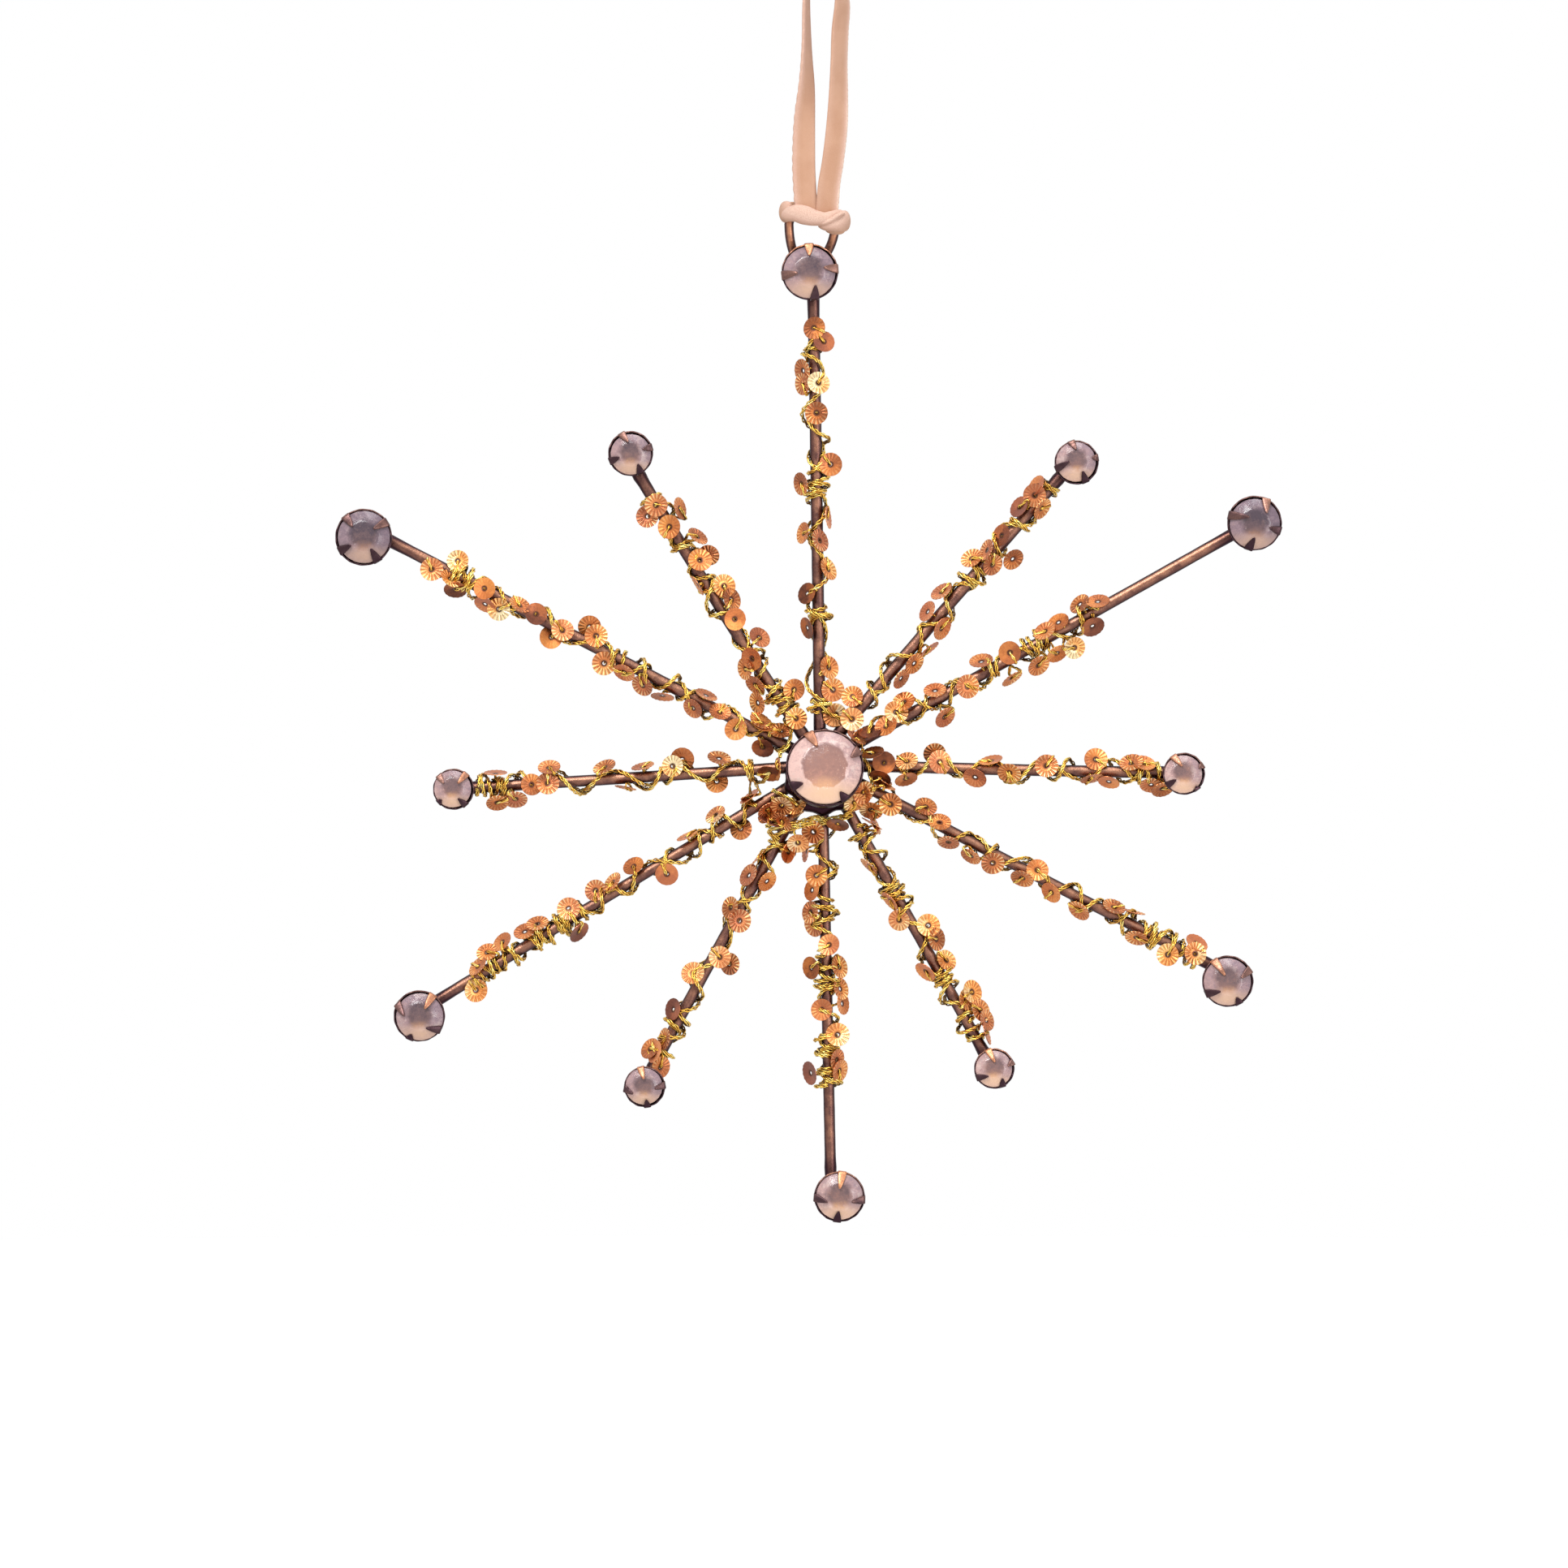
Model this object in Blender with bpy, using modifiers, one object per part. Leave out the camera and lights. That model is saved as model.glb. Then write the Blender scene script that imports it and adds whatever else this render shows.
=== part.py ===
# Star ornament: twelve bent copper rods round a hub, each tipped with a claw-set glass stone
# and wound with gold thread that carries sequins. It hangs by a wire bail in a velvet ribbon.
# Metres, +Z up, and the star faces -Y. The origin is where the ribbon loop bears on its hook.
# Hours name the rays as on a clock face seen from the front, with 12 at the bail.

import math

import bmesh
import bpy
from mathutils import Matrix, Vector

MM = 0.001

# Clearances
SEAT_GAP = 0.3 * MM  # between two pieces that are soldered, tied or set together
STONE_GAP = 0.25 * MM  # between a stone's girdle and the wall of its setting

# Rods and the plate that joins them behind the centre
ROD_RADIUS = 0.795 * MM
ROD_ROOT = 4.5 * MM  # from the star's centre to the rods' inner ends
ROD_UNDER_SETTING = 2.2 * MM  # how far a rod runs on under its tip setting
ROD_STEPS = 6
HUB_RADIUS = 5.2 * MM
HUB_THICKNESS = 0.8 * MM
HUB_BEVEL = 0.15 * MM
HUB_SIDES = 28

# Settings: stamped cups, flared a little, with a toothed rim and four claws
SETTING_WALL = 0.3 * MM
SETTING_FLARE = 0.3 * MM
CLAW_COLUMNS = 2
CLAW_LEAN = 0.25 * MM  # how far a claw leans in as it rises
CLAW_CLEARANCE = 0.25 * MM  # left between a claw's tip and the stone's crown
TOOTH_NARROWING = 0.2
CLAW_NARROWING = 0.3
CLAW_TIP_NARROWING = 0.85

# Each kind of setting: its stone's girdle and table radius, its own depth, its claws and teeth
CENTRE_KIND = dict(
    stone=4.75 * MM, table=3.05 * MM, crown=1.4 * MM, pavilion=2.9 * MM,
    depth=3.5 * MM, rise=0.75 * MM, reach=1.9 * MM, tooth=0.45 * MM, columns=24, facets=14,
)
LARGE_KIND = dict(
    stone=3.2 * MM, table=1.95 * MM, crown=1.1 * MM, pavilion=2.0 * MM,
    depth=2.5 * MM, rise=0.65 * MM, reach=1.35 * MM, tooth=0.35 * MM, columns=20, facets=12,
)
SMALL_KIND = dict(
    stone=2.4 * MM, table=1.45 * MM, crown=0.85 * MM, pavilion=1.5 * MM,
    depth=2.0 * MM, rise=0.6 * MM, reach=1.1 * MM, tooth=0.3 * MM, columns=16, facets=12,
)
GIRDLE = 0.25 * MM
CULET_RADIUS = 0.35 * MM
CENTRE_CLAWS = (335, 63, 147, 240)
CENTRE_TILT = 10  # degrees that the centre stone faces upward, off straight ahead

# Sequin garlands
THREAD_RADIUS = 0.36 * MM
POINTS_PER_TURN = 8
SEQUIN_RADIUS = 1.55 * MM
SEQUIN_THICKNESS = 0.22 * MM
SEQUIN_SIDES = 10
SEQUIN_ACROSS = 1.45 * MM  # from the rod's axis to a sequin's middle, seen from the front
SEQUIN_STANDOFF = 1.2 * MM  # from the rod's axis to a sequin's middle, forward or back
SEQUIN_STEP_TURNS = 0.75
FIRST_SEQUIN_TURNS = 0.125
SEQUIN_TILTS = (12, 25, -8, 18, 4)  # degrees, dealt out in turn

# Every ray: where its stone is from the star's centre (x, z), how far its rod is bowed off the line
# from the centre to the stone (root, middle, tip), the stretch that is wound, its turns, and its claws
RAYS = (
    dict(hour=12, stone=(-2.0, 66.9), bow=(0.5, 0.0, -0.4), wound=(8.0, 59.0), turns=6.5,
         kind=LARGE_KIND, claws=(358, 73, 162, 262)),
    dict(hour=1, stone=(34.0, 41.2), bow=(1.5, 1.05, 0.4), wound=(10.5, 48.0), turns=4.75,
         kind=SMALL_KIND, claws=(345, 77, 155, 251)),
    dict(hour=2, stone=(58.0, 33.0), bow=(0.7, 0.35, 0.15), wound=(8.5, 44.0), turns=5.25,
         kind=LARGE_KIND, claws=(25, 107, 194, 287)),
    dict(hour=3, stone=(48.5, -0.8), bow=(0.35, 0.15, 0.1), wound=(9.0, 45.0), turns=4.75,
         kind=SMALL_KIND, claws=(328, 65, 140, 235)),
    dict(hour=4, stone=(54.4, -28.8), bow=(0.35, 0.5, 0.9), wound=(9.5, 57.0), turns=6.25,
         kind=LARGE_KIND, claws=(326, 62, 153, 240)),
    dict(hour=5, stone=(22.9, -40.6), bow=(-0.1, -0.05, -0.15), wound=(9.5, 42.0), turns=4.25,
         kind=SMALL_KIND, claws=(341, 70, 156, 242)),
    dict(hour=6, stone=(2.0, -57.9), bow=(-0.4, -0.75, -1.1), wound=(9.0, 43.0), turns=4.75,
         kind=LARGE_KIND, claws=(7, 96, 186, 269)),
    dict(hour=7, stone=(-24.3, -43.1), bow=(-0.5, -0.55, -0.3), wound=(9.5, 45.5), turns=4.75,
         kind=SMALL_KIND, claws=(348, 84, 172, 267)),
    dict(hour=8, stone=(-54.7, -33.5), bow=(-0.3, -0.5, -0.5), wound=(9.0, 57.0), turns=6.25,
         kind=LARGE_KIND, claws=(33, 123, 203, 300)),
    dict(hour=9, stone=(-50.1, -2.9), bow=(-0.35, -0.15, -0.05), wound=(9.5, 46.5), turns=4.75,
         kind=SMALL_KIND, claws=(40, 142, 228, 313)),
    dict(hour=10, stone=(-62.2, 31.1), bow=(-0.3, -0.75, -1.2), wound=(9.0, 60.5), turns=6.5,
         kind=LARGE_KIND, claws=(57, 149, 240, 319)),
    dict(hour=11, stone=(-26.2, 42.4), bow=(0.1, 0.6, 0.5), wound=(9.0, 43.5), turns=4.75,
         kind=SMALL_KIND, claws=(335, 73, 153, 249)),
)

# Bail: a round loop of wire whose two legs draw in and stand behind the top setting
BAIL_WIRE_RADIUS = 0.635 * MM
BAIL_LOOP_RADIUS = 3.15 * MM
BAIL_ABOVE_STONE = 6.2 * MM
BAIL_OFFSET = 0.3 * MM  # the loop stands this far to the right of the top stone
BAIL_FORWARD = 1.2 * MM  # the loop's plane stands this far in front of the rods' axes
BAIL_SHOULDER = 80  # degrees either side of the top, where the loop turns into its legs
BAIL_LOOP_STEPS = 12
BAIL_LEG_STEPS = 5
BAIL_KNEE_BELOW_MIDDLE = 1.75 * MM  # where the leg's curve is drawn towards, below the loop's middle
BAIL_FOOT_SPREAD = 2.1 * MM  # from the top stone's middle to a foot's
BAIL_FOOT_RISE = 2.5 * MM

# Ribbon
RIBBON_WIDTH = 3.2 * MM
RIBBON_THICKNESS = 0.55 * MM
LOOP_TOP = 37.6 * MM  # from the bail's top to where the loop bears on its hook
# Each strand's middle: (x, y, z) from the bail's top and star's centre line, and the turn of its flat
# side about the vertical in degrees, chosen to lie as the ribbon hangs
LEFT_STRAND = (
    (-2.75, -1.3, 2.75, 0), (-2.85, -1.0, 5.8, 4), (-2.75, -0.6, 11.3, 24), (-2.45, -0.3, 16.3, 50),
    (-2.45, -0.1, 21.3, 68), (-2.5, 0.0, 27.2, 76), (-2.2, 0.0, 31.3, 84), (-1.4, 0.0, 34.8, 88),
    (-0.65, 0.0, 37.3, 90),
)
RIGHT_STRAND = (
    (0.7, -1.3, 2.75, 14), (1.15, -1.0, 5.8, 18), (1.65, -0.6, 10.2, 22), (1.87, -0.3, 14.6, 35),
    (1.95, -0.1, 19.0, 45), (2.1, 0.0, 23.4, 45), (2.4, 0.0, 27.2, 52), (2.1, 0.0, 31.3, 74),
    (1.4, 0.0, 34.8, 86), (0.65, 0.0, 37.3, 90),
)
HITCH_HALF_LENGTH = 2.2 * MM
HITCH_SIDES = 20
BAR_LENGTH = 9.4 * MM
BAR_HEIGHT = 2.5 * MM
BAR_THICKNESS = 0.75 * MM
BAR_SINK = 0.15 * MM  # the bar is pressed this far into the wraps behind it
BAR_DROP = 1.0 * MM  # from the bail's top down to the bar's middle
BAR_SLANT = 9  # degrees, right end down
BAR_BEVEL = 0.36 * MM
BAR_BEVEL_STEPS = 3
KNOT_SIZE = (5.2 * MM, 4.4 * MM, 4.6 * MM)
KNOT_BAND_RADIUS = 0.8 * MM
KNOT_BAND_TILT = 35
TAIL_LENGTH = 8.0 * MM
TAIL_SPREAD = 22

# The bail's top, the star's pivot, seen from the star's centre
TOP_STONE = Vector((RAYS[0]["stone"][0] * MM, 0, RAYS[0]["stone"][1] * MM))
PIVOT = Vector((TOP_STONE.x + BAIL_OFFSET, -BAIL_FORWARD, TOP_STONE.z + BAIL_ABOVE_STONE + BAIL_LOOP_RADIUS))
SETTING_BACK = -ROD_RADIUS - SEAT_GAP


def clear_scene():
    for obj in list(bpy.data.objects):
        bpy.data.objects.remove(obj, do_unlink=True)


def new_collection(name):
    collection = bpy.data.collections.new(name)
    bpy.context.scene.collection.children.link(collection)
    return collection


def new_material(name, colour, roughness, metallic=0.0):
    material = bpy.data.materials.new(name)
    material.use_nodes = True
    shader = material.node_tree.nodes["Principled BSDF"]
    shader.inputs["Base Color"].default_value = (*colour, 1)
    shader.inputs["Roughness"].default_value = roughness
    shader.inputs["Metallic"].default_value = metallic
    return material


def new_empty(name, location, parent=None):
    empty = bpy.data.objects.new(name, None)
    empty.location = location
    empty.parent = parent
    ornament.objects.link(empty)
    return empty


def place(name, data, material, parent=None, location=(0, 0, 0), rotation=(0, 0, 0), collection=None):
    obj = bpy.data.objects.new(name, data)
    obj.location = location
    obj.rotation_euler = rotation
    obj.parent = parent
    data.materials.append(material)
    (collection or ornament).objects.link(obj)
    return obj


def mesh_from(bm, name, smooth_angle=None):
    mesh = bpy.data.meshes.new(name)
    bm.to_mesh(mesh)
    bm.free()
    if smooth_angle is not None:
        mesh.shade_smooth()
        mesh.set_sharp_from_angle(angle=math.radians(smooth_angle))
    return mesh


def wire(name, points, radius, resolution):
    """A tube with flat caps along straight steps between the points."""
    curve = bpy.data.curves.new(name, "CURVE")
    curve.dimensions = "3D"
    curve.bevel_depth = radius
    curve.bevel_resolution = resolution
    curve.use_fill_caps = True
    spline = curve.splines.new("POLY")
    spline.points.add(len(points) - 1)
    for spot, point in zip(spline.points, points):
        spot.co = (*point, 1)
    return curve


def grow_ring(bm, edges, radius, height):
    """Extrude a ring of edges to a new radius and height, and return the new ring."""
    made = bmesh.ops.extrude_edge_only(bm, edges=edges)["geom"]
    verts = {part for part in made if isinstance(part, bmesh.types.BMVert)}
    for vert in verts:
        flat = Vector((vert.co.x, vert.co.y, 0)).normalized() * radius
        vert.co = (flat.x, flat.y, height)
    return [part for part in made if isinstance(part, bmesh.types.BMEdge) and set(part.verts) <= verts]


def clock_angle(point):
    return math.degrees(math.atan2(point.x, point.y)) % 360


def narrow(verts, share):
    """Draw a strip's side points towards its middle by a share of their distance."""
    middle = sum((vert.co for vert in verts), Vector()) / len(verts)
    for vert in verts:
        vert.co = vert.co.lerp(middle, share)


def raise_strip(bm, edges, rise, inward, share):
    """Extrude rim edges up and inward as one strip that narrows, and return its new edges."""
    made = bmesh.ops.extrude_edge_only(bm, edges=edges)["geom"]
    verts = [part for part in made if isinstance(part, bmesh.types.BMVert)]
    for vert in verts:
        flat = Vector((vert.co.x, vert.co.y, 0))
        vert.co -= flat.normalized() * inward
        vert.co.z += rise
    narrow(verts, share)
    return [part for part in made if isinstance(part, bmesh.types.BMEdge) and set(part.verts) <= set(verts)]


def setting_radius(kind):
    return kind["stone"] + STONE_GAP + SETTING_WALL


def crown_height(kind, radius):
    """How far a stone's crown stands above its girdle at a radius."""
    return kind["crown"] * (kind["stone"] - radius) / (kind["stone"] - kind["table"])


def setting_mesh(name, kind, claws):
    """A stamped cup that opens along +Z, as a shell with four claws and a toothed rim."""
    radius = setting_radius(kind)
    bm = bmesh.new()
    bmesh.ops.create_circle(bm, cap_ends=True, segments=kind["columns"], radius=radius - SETTING_FLARE)
    rim = grow_ring(bm, bm.edges[:], radius, kind["depth"])
    rim_verts = {vert for edge in rim for vert in edge.verts}
    claw_edges = []
    for angle in claws:
        middle = min(rim_verts, key=lambda v: abs((clock_angle(v.co) - angle + 180) % 360 - 180))
        claw_edges.append([edge for edge in rim if middle in edge.verts])
    taken = {edge for edges in claw_edges for edge in edges}
    free = sorted((edge for edge in rim if edge not in taken), key=lambda e: clock_angle(sum(
        (vert.co for vert in e.verts), Vector())))
    for edge in free[::CLAW_COLUMNS]:
        raise_strip(bm, [edge], kind["tooth"], 0, TOOTH_NARROWING)
    tip = crown_height(kind, radius - kind["reach"]) + SETTING_WALL + CLAW_CLEARANCE
    for edges in claw_edges:
        bend = raise_strip(bm, edges, kind["rise"], CLAW_LEAN, CLAW_NARROWING)
        raise_strip(bm, bend, tip - kind["rise"], kind["reach"] - CLAW_LEAN, CLAW_TIP_NARROWING)
    bmesh.ops.recalc_face_normals(bm, faces=bm.faces)
    floor = min(bm.faces, key=lambda face: face.calc_center_median().z)
    if floor.normal.z > 0:
        bmesh.ops.reverse_faces(bm, faces=bm.faces)
    return mesh_from(bm, name, 35)


def seat(kind, spot, tilt):
    """Where a setting's floor goes, and its turn, so that its stone faces the front or a little upward."""
    turn = math.radians(90 - tilt)
    opening = Vector((0, -math.sin(turn), math.cos(turn)))
    sink = (setting_radius(kind) - SETTING_FLARE) * math.cos(turn)
    floor = Vector((spot.x, SETTING_BACK - sink, spot.z - kind["depth"] * opening.z))
    return floor, (turn, 0, 0)


def add_setting(name, kind, claws, spot, tilt=0):
    floor, turn = seat(kind, spot, tilt)
    cup = place(name, setting_mesh(name, kind, claws), copper, star_centre, floor, turn)
    shell = cup.modifiers.new("Wall", "SOLIDIFY")
    shell.thickness = SETTING_WALL
    shell.offset = -1


def stone_mesh(name, kind):
    """A faceted stone whose flat table faces +Z, with its girdle level with the setting's rim."""
    girdle = kind["depth"]
    bm = bmesh.new()
    bmesh.ops.create_circle(bm, cap_ends=True, segments=kind["facets"], radius=kind["table"])
    bmesh.ops.translate(bm, verts=bm.verts, vec=(0, 0, girdle + kind["crown"]))
    ring = grow_ring(bm, bm.edges[:], kind["stone"], girdle)
    ring = grow_ring(bm, ring, kind["stone"], girdle - GIRDLE)
    ring = grow_ring(bm, ring, CULET_RADIUS, girdle - GIRDLE - kind["pavilion"])
    bmesh.ops.contextual_create(bm, geom=ring)
    bmesh.ops.recalc_face_normals(bm, faces=bm.faces)
    return mesh_from(bm, name)


def add_stone(name, kind, spot, tilt=0):
    floor, turn = seat(kind, spot, tilt)
    place(name, stone_mesh(name, kind), opal_glass, star_centre, floor, turn)


class Ray:
    """One rod with its own straight axis from the centre to its stone, and its bow off that line."""

    def __init__(self, ray):
        self.kind = ray["kind"]
        self.stone = Vector((ray["stone"][0] * MM, 0, ray["stone"][1] * MM))
        self.reach = self.stone.length
        self.out = self.stone.normalized()
        self.left = Vector((-self.out.z, 0, self.out.x))
        self.bow = [offset * MM for offset in ray["bow"]]
        self.end = self.reach - setting_radius(self.kind) + ROD_UNDER_SETTING

    def axis(self, along):
        """The rod's middle at a distance from the centre, on a parabola through its three offsets."""
        share = (along - ROD_ROOT) / (self.end - ROD_ROOT)
        root, middle, tip = self.bow
        offset = root * (1 - share) * (1 - 2 * share) + middle * 4 * share * (1 - share)
        offset += tip * share * (2 * share - 1)
        return self.out * along + self.left * offset

    def around(self, along, turn, radius):
        """A point round the rod, where turn 0 is its front and a quarter turn its left side."""
        swing = 2 * math.pi * turn
        return self.axis(along) + radius * (
            math.cos(swing) * Vector((0, -1, 0)) + math.sin(swing) * self.left
        )


def add_rod(ray, hour):
    points = [ray.axis(ROD_ROOT + (ray.end - ROD_ROOT) * step / ROD_STEPS) for step in range(ROD_STEPS + 1)]
    place(f"ray_{hour:02d}", wire(f"ray_{hour:02d}", points, ROD_RADIUS, 3), copper, star_centre)


def least_gap(points, radius, apart):
    """The least gap of a tube to itself, between points at least that many steps apart."""
    nearest = min(
        (points[i] - points[j]).length for i in range(len(points)) for j in range(i + apart, len(points))
    )
    return nearest - 2 * radius


def tube_object(name, curve, material, parent):
    """The curve's tube as a mesh object with its caps welded on."""
    guide = place(name + "_guide", curve, material, parent)
    bpy.context.view_layer.update()
    evaluated = guide.evaluated_get(bpy.context.evaluated_depsgraph_get())
    mesh = bpy.data.meshes.new_from_object(evaluated)
    bpy.data.objects.remove(guide, do_unlink=True)
    bm = bmesh.new()
    bm.from_mesh(mesh)
    bmesh.ops.remove_doubles(bm, verts=bm.verts, dist=0.001 * MM)
    bm.to_mesh(mesh)
    bm.free()
    return place(name, mesh, material, parent)


def union(obj, other, name):
    other.hide_render = True
    other.display_type = "WIRE"
    joint = obj.modifiers.new(name, "BOOLEAN")
    joint.operation = "UNION"
    joint.object = other


def sequin_places(ray, start, pitch, turns):
    """A frame for each sequin, flat side to the front or back and tilted, where it meets the thread."""
    places = []
    turn = FIRST_SEQUIN_TURNS
    while turn < turns:
        front = math.copysign(1, math.cos(2 * math.pi * turn))
        side = math.copysign(1, math.sin(2 * math.pi * turn))
        middle = ray.axis(start + pitch * turn) + side * SEQUIN_ACROSS * ray.left
        middle += Vector((0, -front * SEQUIN_STANDOFF, 0))
        tilt = math.radians(SEQUIN_TILTS[len(places) % len(SEQUIN_TILTS)])
        faces = Vector((0, -front, 0)) * math.cos(tilt) + side * ray.left * math.sin(tilt)
        places.append(Matrix.Translation(middle) @ faces.to_track_quat("Z", "Y").to_matrix().to_4x4())
        turn += SEQUIN_STEP_TURNS
    return places


def add_garland(ray, hour, wound, turns):
    name = f"sequin_garland_{hour:02d}"
    start, stop = (end * MM for end in wound)
    pitch = (stop - start) / turns
    winding = ROD_RADIUS + SEAT_GAP + THREAD_RADIUS
    steps = round(turns * POINTS_PER_TURN)
    points = [
        ray.around(start + pitch * step / POINTS_PER_TURN, step / POINTS_PER_TURN, winding)
        for step in range(steps + 1)
    ]
    gap = least_gap(points, THREAD_RADIUS, POINTS_PER_TURN // 2)
    print(f"{name}: {turns} turns, least gap to itself {gap / MM:.2f} mm")
    thread = tube_object(name, wire(name, points, THREAD_RADIUS, 1), gold_thread, star_centre)
    bm = bmesh.new()
    for frame in sequin_places(ray, start, pitch, turns):
        bmesh.ops.create_cone(bm, cap_ends=True, segments=SEQUIN_SIDES, radius1=SEQUIN_RADIUS,
                              radius2=SEQUIN_RADIUS, depth=SEQUIN_THICKNESS, matrix=frame)
    sequins = place(name + "_sequins", mesh_from(bm, name + "_sequins"), sequin_copper, star_centre,
                    collection=cutters)
    union(thread, sequins, "Sequins")


def add_hub_plate():
    bm = bmesh.new()
    bmesh.ops.create_cone(bm, cap_ends=True, segments=HUB_SIDES, radius1=HUB_RADIUS, radius2=HUB_RADIUS,
                          depth=HUB_THICKNESS)
    plate = place("hub_plate", mesh_from(bm, "hub_plate", 30), copper, star_centre,
                  (0, ROD_RADIUS + SEAT_GAP + HUB_THICKNESS / 2, 0), (math.radians(90), 0, 0))
    edge = plate.modifiers.new("Edge", "BEVEL")
    edge.width = HUB_BEVEL
    edge.segments = 1
    edge.angle_limit = math.radians(60)


def bail_leg(shoulder, side):
    """A leg's points on a curve from the loop's shoulder, back and in to its foot under the setting."""
    knee = Vector((PIVOT.x + side * BAIL_LOOP_RADIUS, 0, PIVOT.z - BAIL_LOOP_RADIUS - BAIL_KNEE_BELOW_MIDDLE))
    foot = TOP_STONE + Vector((side * BAIL_FOOT_SPREAD, 0, BAIL_FOOT_RISE))
    shares = [step / BAIL_LEG_STEPS for step in range(1, BAIL_LEG_STEPS + 1)]
    return [shoulder * (1 - t) ** 2 + knee * 2 * t * (1 - t) + foot * t**2 for t in shares]


def add_bail():
    middle = PIVOT - Vector((0, 0, BAIL_LOOP_RADIUS))
    loop = []
    for step in range(BAIL_LOOP_STEPS + 1):
        swing = math.radians(BAIL_SHOULDER * (2 * step / BAIL_LOOP_STEPS - 1))
        loop.append(middle + BAIL_LOOP_RADIUS * Vector((math.sin(swing), 0, math.cos(swing))))
    points = [*reversed(bail_leg(loop[0], -1)), *loop, *bail_leg(loop[-1], 1)]
    place("bail", wire("bail", points, BAIL_WIRE_RADIUS, 2), copper, star_centre)


def flat_strand(name, stations, parent):
    """A flat ribbon through its stations, each turned about the vertical."""
    bm = bmesh.new()
    rows = []
    for x, y, z, turn in stations:
        across = Vector((math.cos(math.radians(turn)), math.sin(math.radians(turn)), 0)) * RIBBON_WIDTH / 2
        middle = Vector((x, y, z)) * MM
        rows.append([bm.verts.new(middle - across), bm.verts.new(middle + across)])
    for (a, b), (c, d) in zip(rows, rows[1:]):
        bm.faces.new((a, b, d, c))
    strand = place(name, mesh_from(bm, name, 60), velvet, parent)
    cloth = strand.modifiers.new("Cloth", "SOLIDIFY")
    cloth.thickness = RIBBON_THICKNESS
    cloth.offset = 0


def hitch_bore():
    """The radius that lets the bent top of the bail turn in the wraps."""
    dip = BAIL_LOOP_RADIUS - math.sqrt(BAIL_LOOP_RADIUS**2 - HITCH_HALF_LENGTH**2)
    return BAIL_WIRE_RADIUS + dip + SEAT_GAP


def add_hitch(parent):
    """Ribbon wraps round the bail's top as a short sleeve, with the slanting bar in front of them."""
    outer = hitch_bore() + RIBBON_THICKNESS
    profile = bmesh.new()
    ring = [
        (hitch_bore(), -HITCH_HALF_LENGTH), (outer, -HITCH_HALF_LENGTH),
        (outer, HITCH_HALF_LENGTH), (hitch_bore(), HITCH_HALF_LENGTH),
    ]
    corners = [profile.verts.new((radius, 0, height)) for radius, height in ring]
    for a, b in zip(corners, corners[1:] + corners[:1]):
        profile.edges.new((a, b))
    hitch = place("ribbon_hitch", mesh_from(profile, "ribbon_hitch"), velvet, parent,
                  rotation=(0, math.radians(90), 0))
    turning = hitch.modifiers.new("Turned", "SCREW")
    turning.steps = turning.render_steps = HITCH_SIDES
    turning.use_merge_vertices = True
    turning.merge_threshold = 0.00001
    bar = bmesh.new()
    bmesh.ops.create_cube(bar, size=1)
    bmesh.ops.scale(bar, verts=bar.verts, vec=(BAR_LENGTH, BAR_THICKNESS, BAR_HEIGHT))
    bmesh.ops.bevel(bar, geom=bar.edges, offset=BAR_BEVEL, segments=BAR_BEVEL_STEPS, affect="EDGES", profile=0.5)
    band = place("hitch_bar", mesh_from(bar, "hitch_bar"), velvet, parent,
                 (0, BAR_SINK - outer - BAR_THICKNESS / 2, -BAR_DROP), (0, math.radians(BAR_SLANT), 0), cutters)
    union(hitch, band, "Bar")


def add_knot(parent):
    """The knot that joins the ribbon's ends, with its two tails."""
    width, depth, height = KNOT_SIZE
    ball = bmesh.new()
    bmesh.ops.create_uvsphere(ball, u_segments=12, v_segments=8, radius=0.5)
    bmesh.ops.scale(ball, verts=ball.verts, vec=(width, depth, height))
    knot = place("ribbon_knot", mesh_from(ball, "ribbon_knot", 60), velvet, parent,
                 (0, 0, height / 2 + SEAT_GAP))
    band = bmesh.new()
    circle = bmesh.ops.create_circle(band, segments=6, radius=KNOT_BAND_RADIUS)["verts"]
    bmesh.ops.rotate(band, verts=circle, matrix=Matrix.Rotation(math.radians(90), 3, "X"))
    bmesh.ops.translate(band, verts=circle, vec=(width / 2 - KNOT_BAND_RADIUS / 2, 0, 0))
    bmesh.ops.spin(band, geom=band.edges[:], axis=(0, 0, 1), steps=12, angle=2 * math.pi, use_merge=True)
    bmesh.ops.remove_doubles(band, verts=band.verts, dist=0.001 * MM)
    bmesh.ops.recalc_face_normals(band, faces=band.faces)
    wrap = place("knot_band", mesh_from(band, "knot_band"), velvet, knot,
                 rotation=(0, math.radians(KNOT_BAND_TILT), 0), collection=cutters)
    union(knot, wrap, "Wrap")
    for side in (-1, 1):
        tail = bmesh.new()
        bmesh.ops.create_cube(tail, size=1)
        bmesh.ops.scale(tail, verts=tail.verts, vec=(RIBBON_THICKNESS, RIBBON_WIDTH, TAIL_LENGTH))
        bmesh.ops.translate(tail, verts=tail.verts, vec=(0, 0, TAIL_LENGTH / 2))
        end = place(f"knot_tail_{side}", mesh_from(tail, "knot_tail"), velvet, knot,
                    rotation=(0, math.radians(side * TAIL_SPREAD), 0), collection=cutters)
        union(knot, end, "Tail")


clear_scene()
ornament = new_collection("star_ornament")
cutters = new_collection("joined_shapes")
copper = new_material("antique_copper", (0.30, 0.15, 0.10), 0.38, 1.0)
gold_thread = new_material("gold_thread", (0.72, 0.55, 0.16), 0.35, 0.9)
sequin_copper = new_material("sequin_copper", (0.80, 0.42, 0.18), 0.3, 0.8)
opal_glass = new_material("opal_glass", (0.55, 0.42, 0.42), 0.08)
velvet = new_material("peach_velvet", (0.85, 0.58, 0.42), 0.95)

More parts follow.
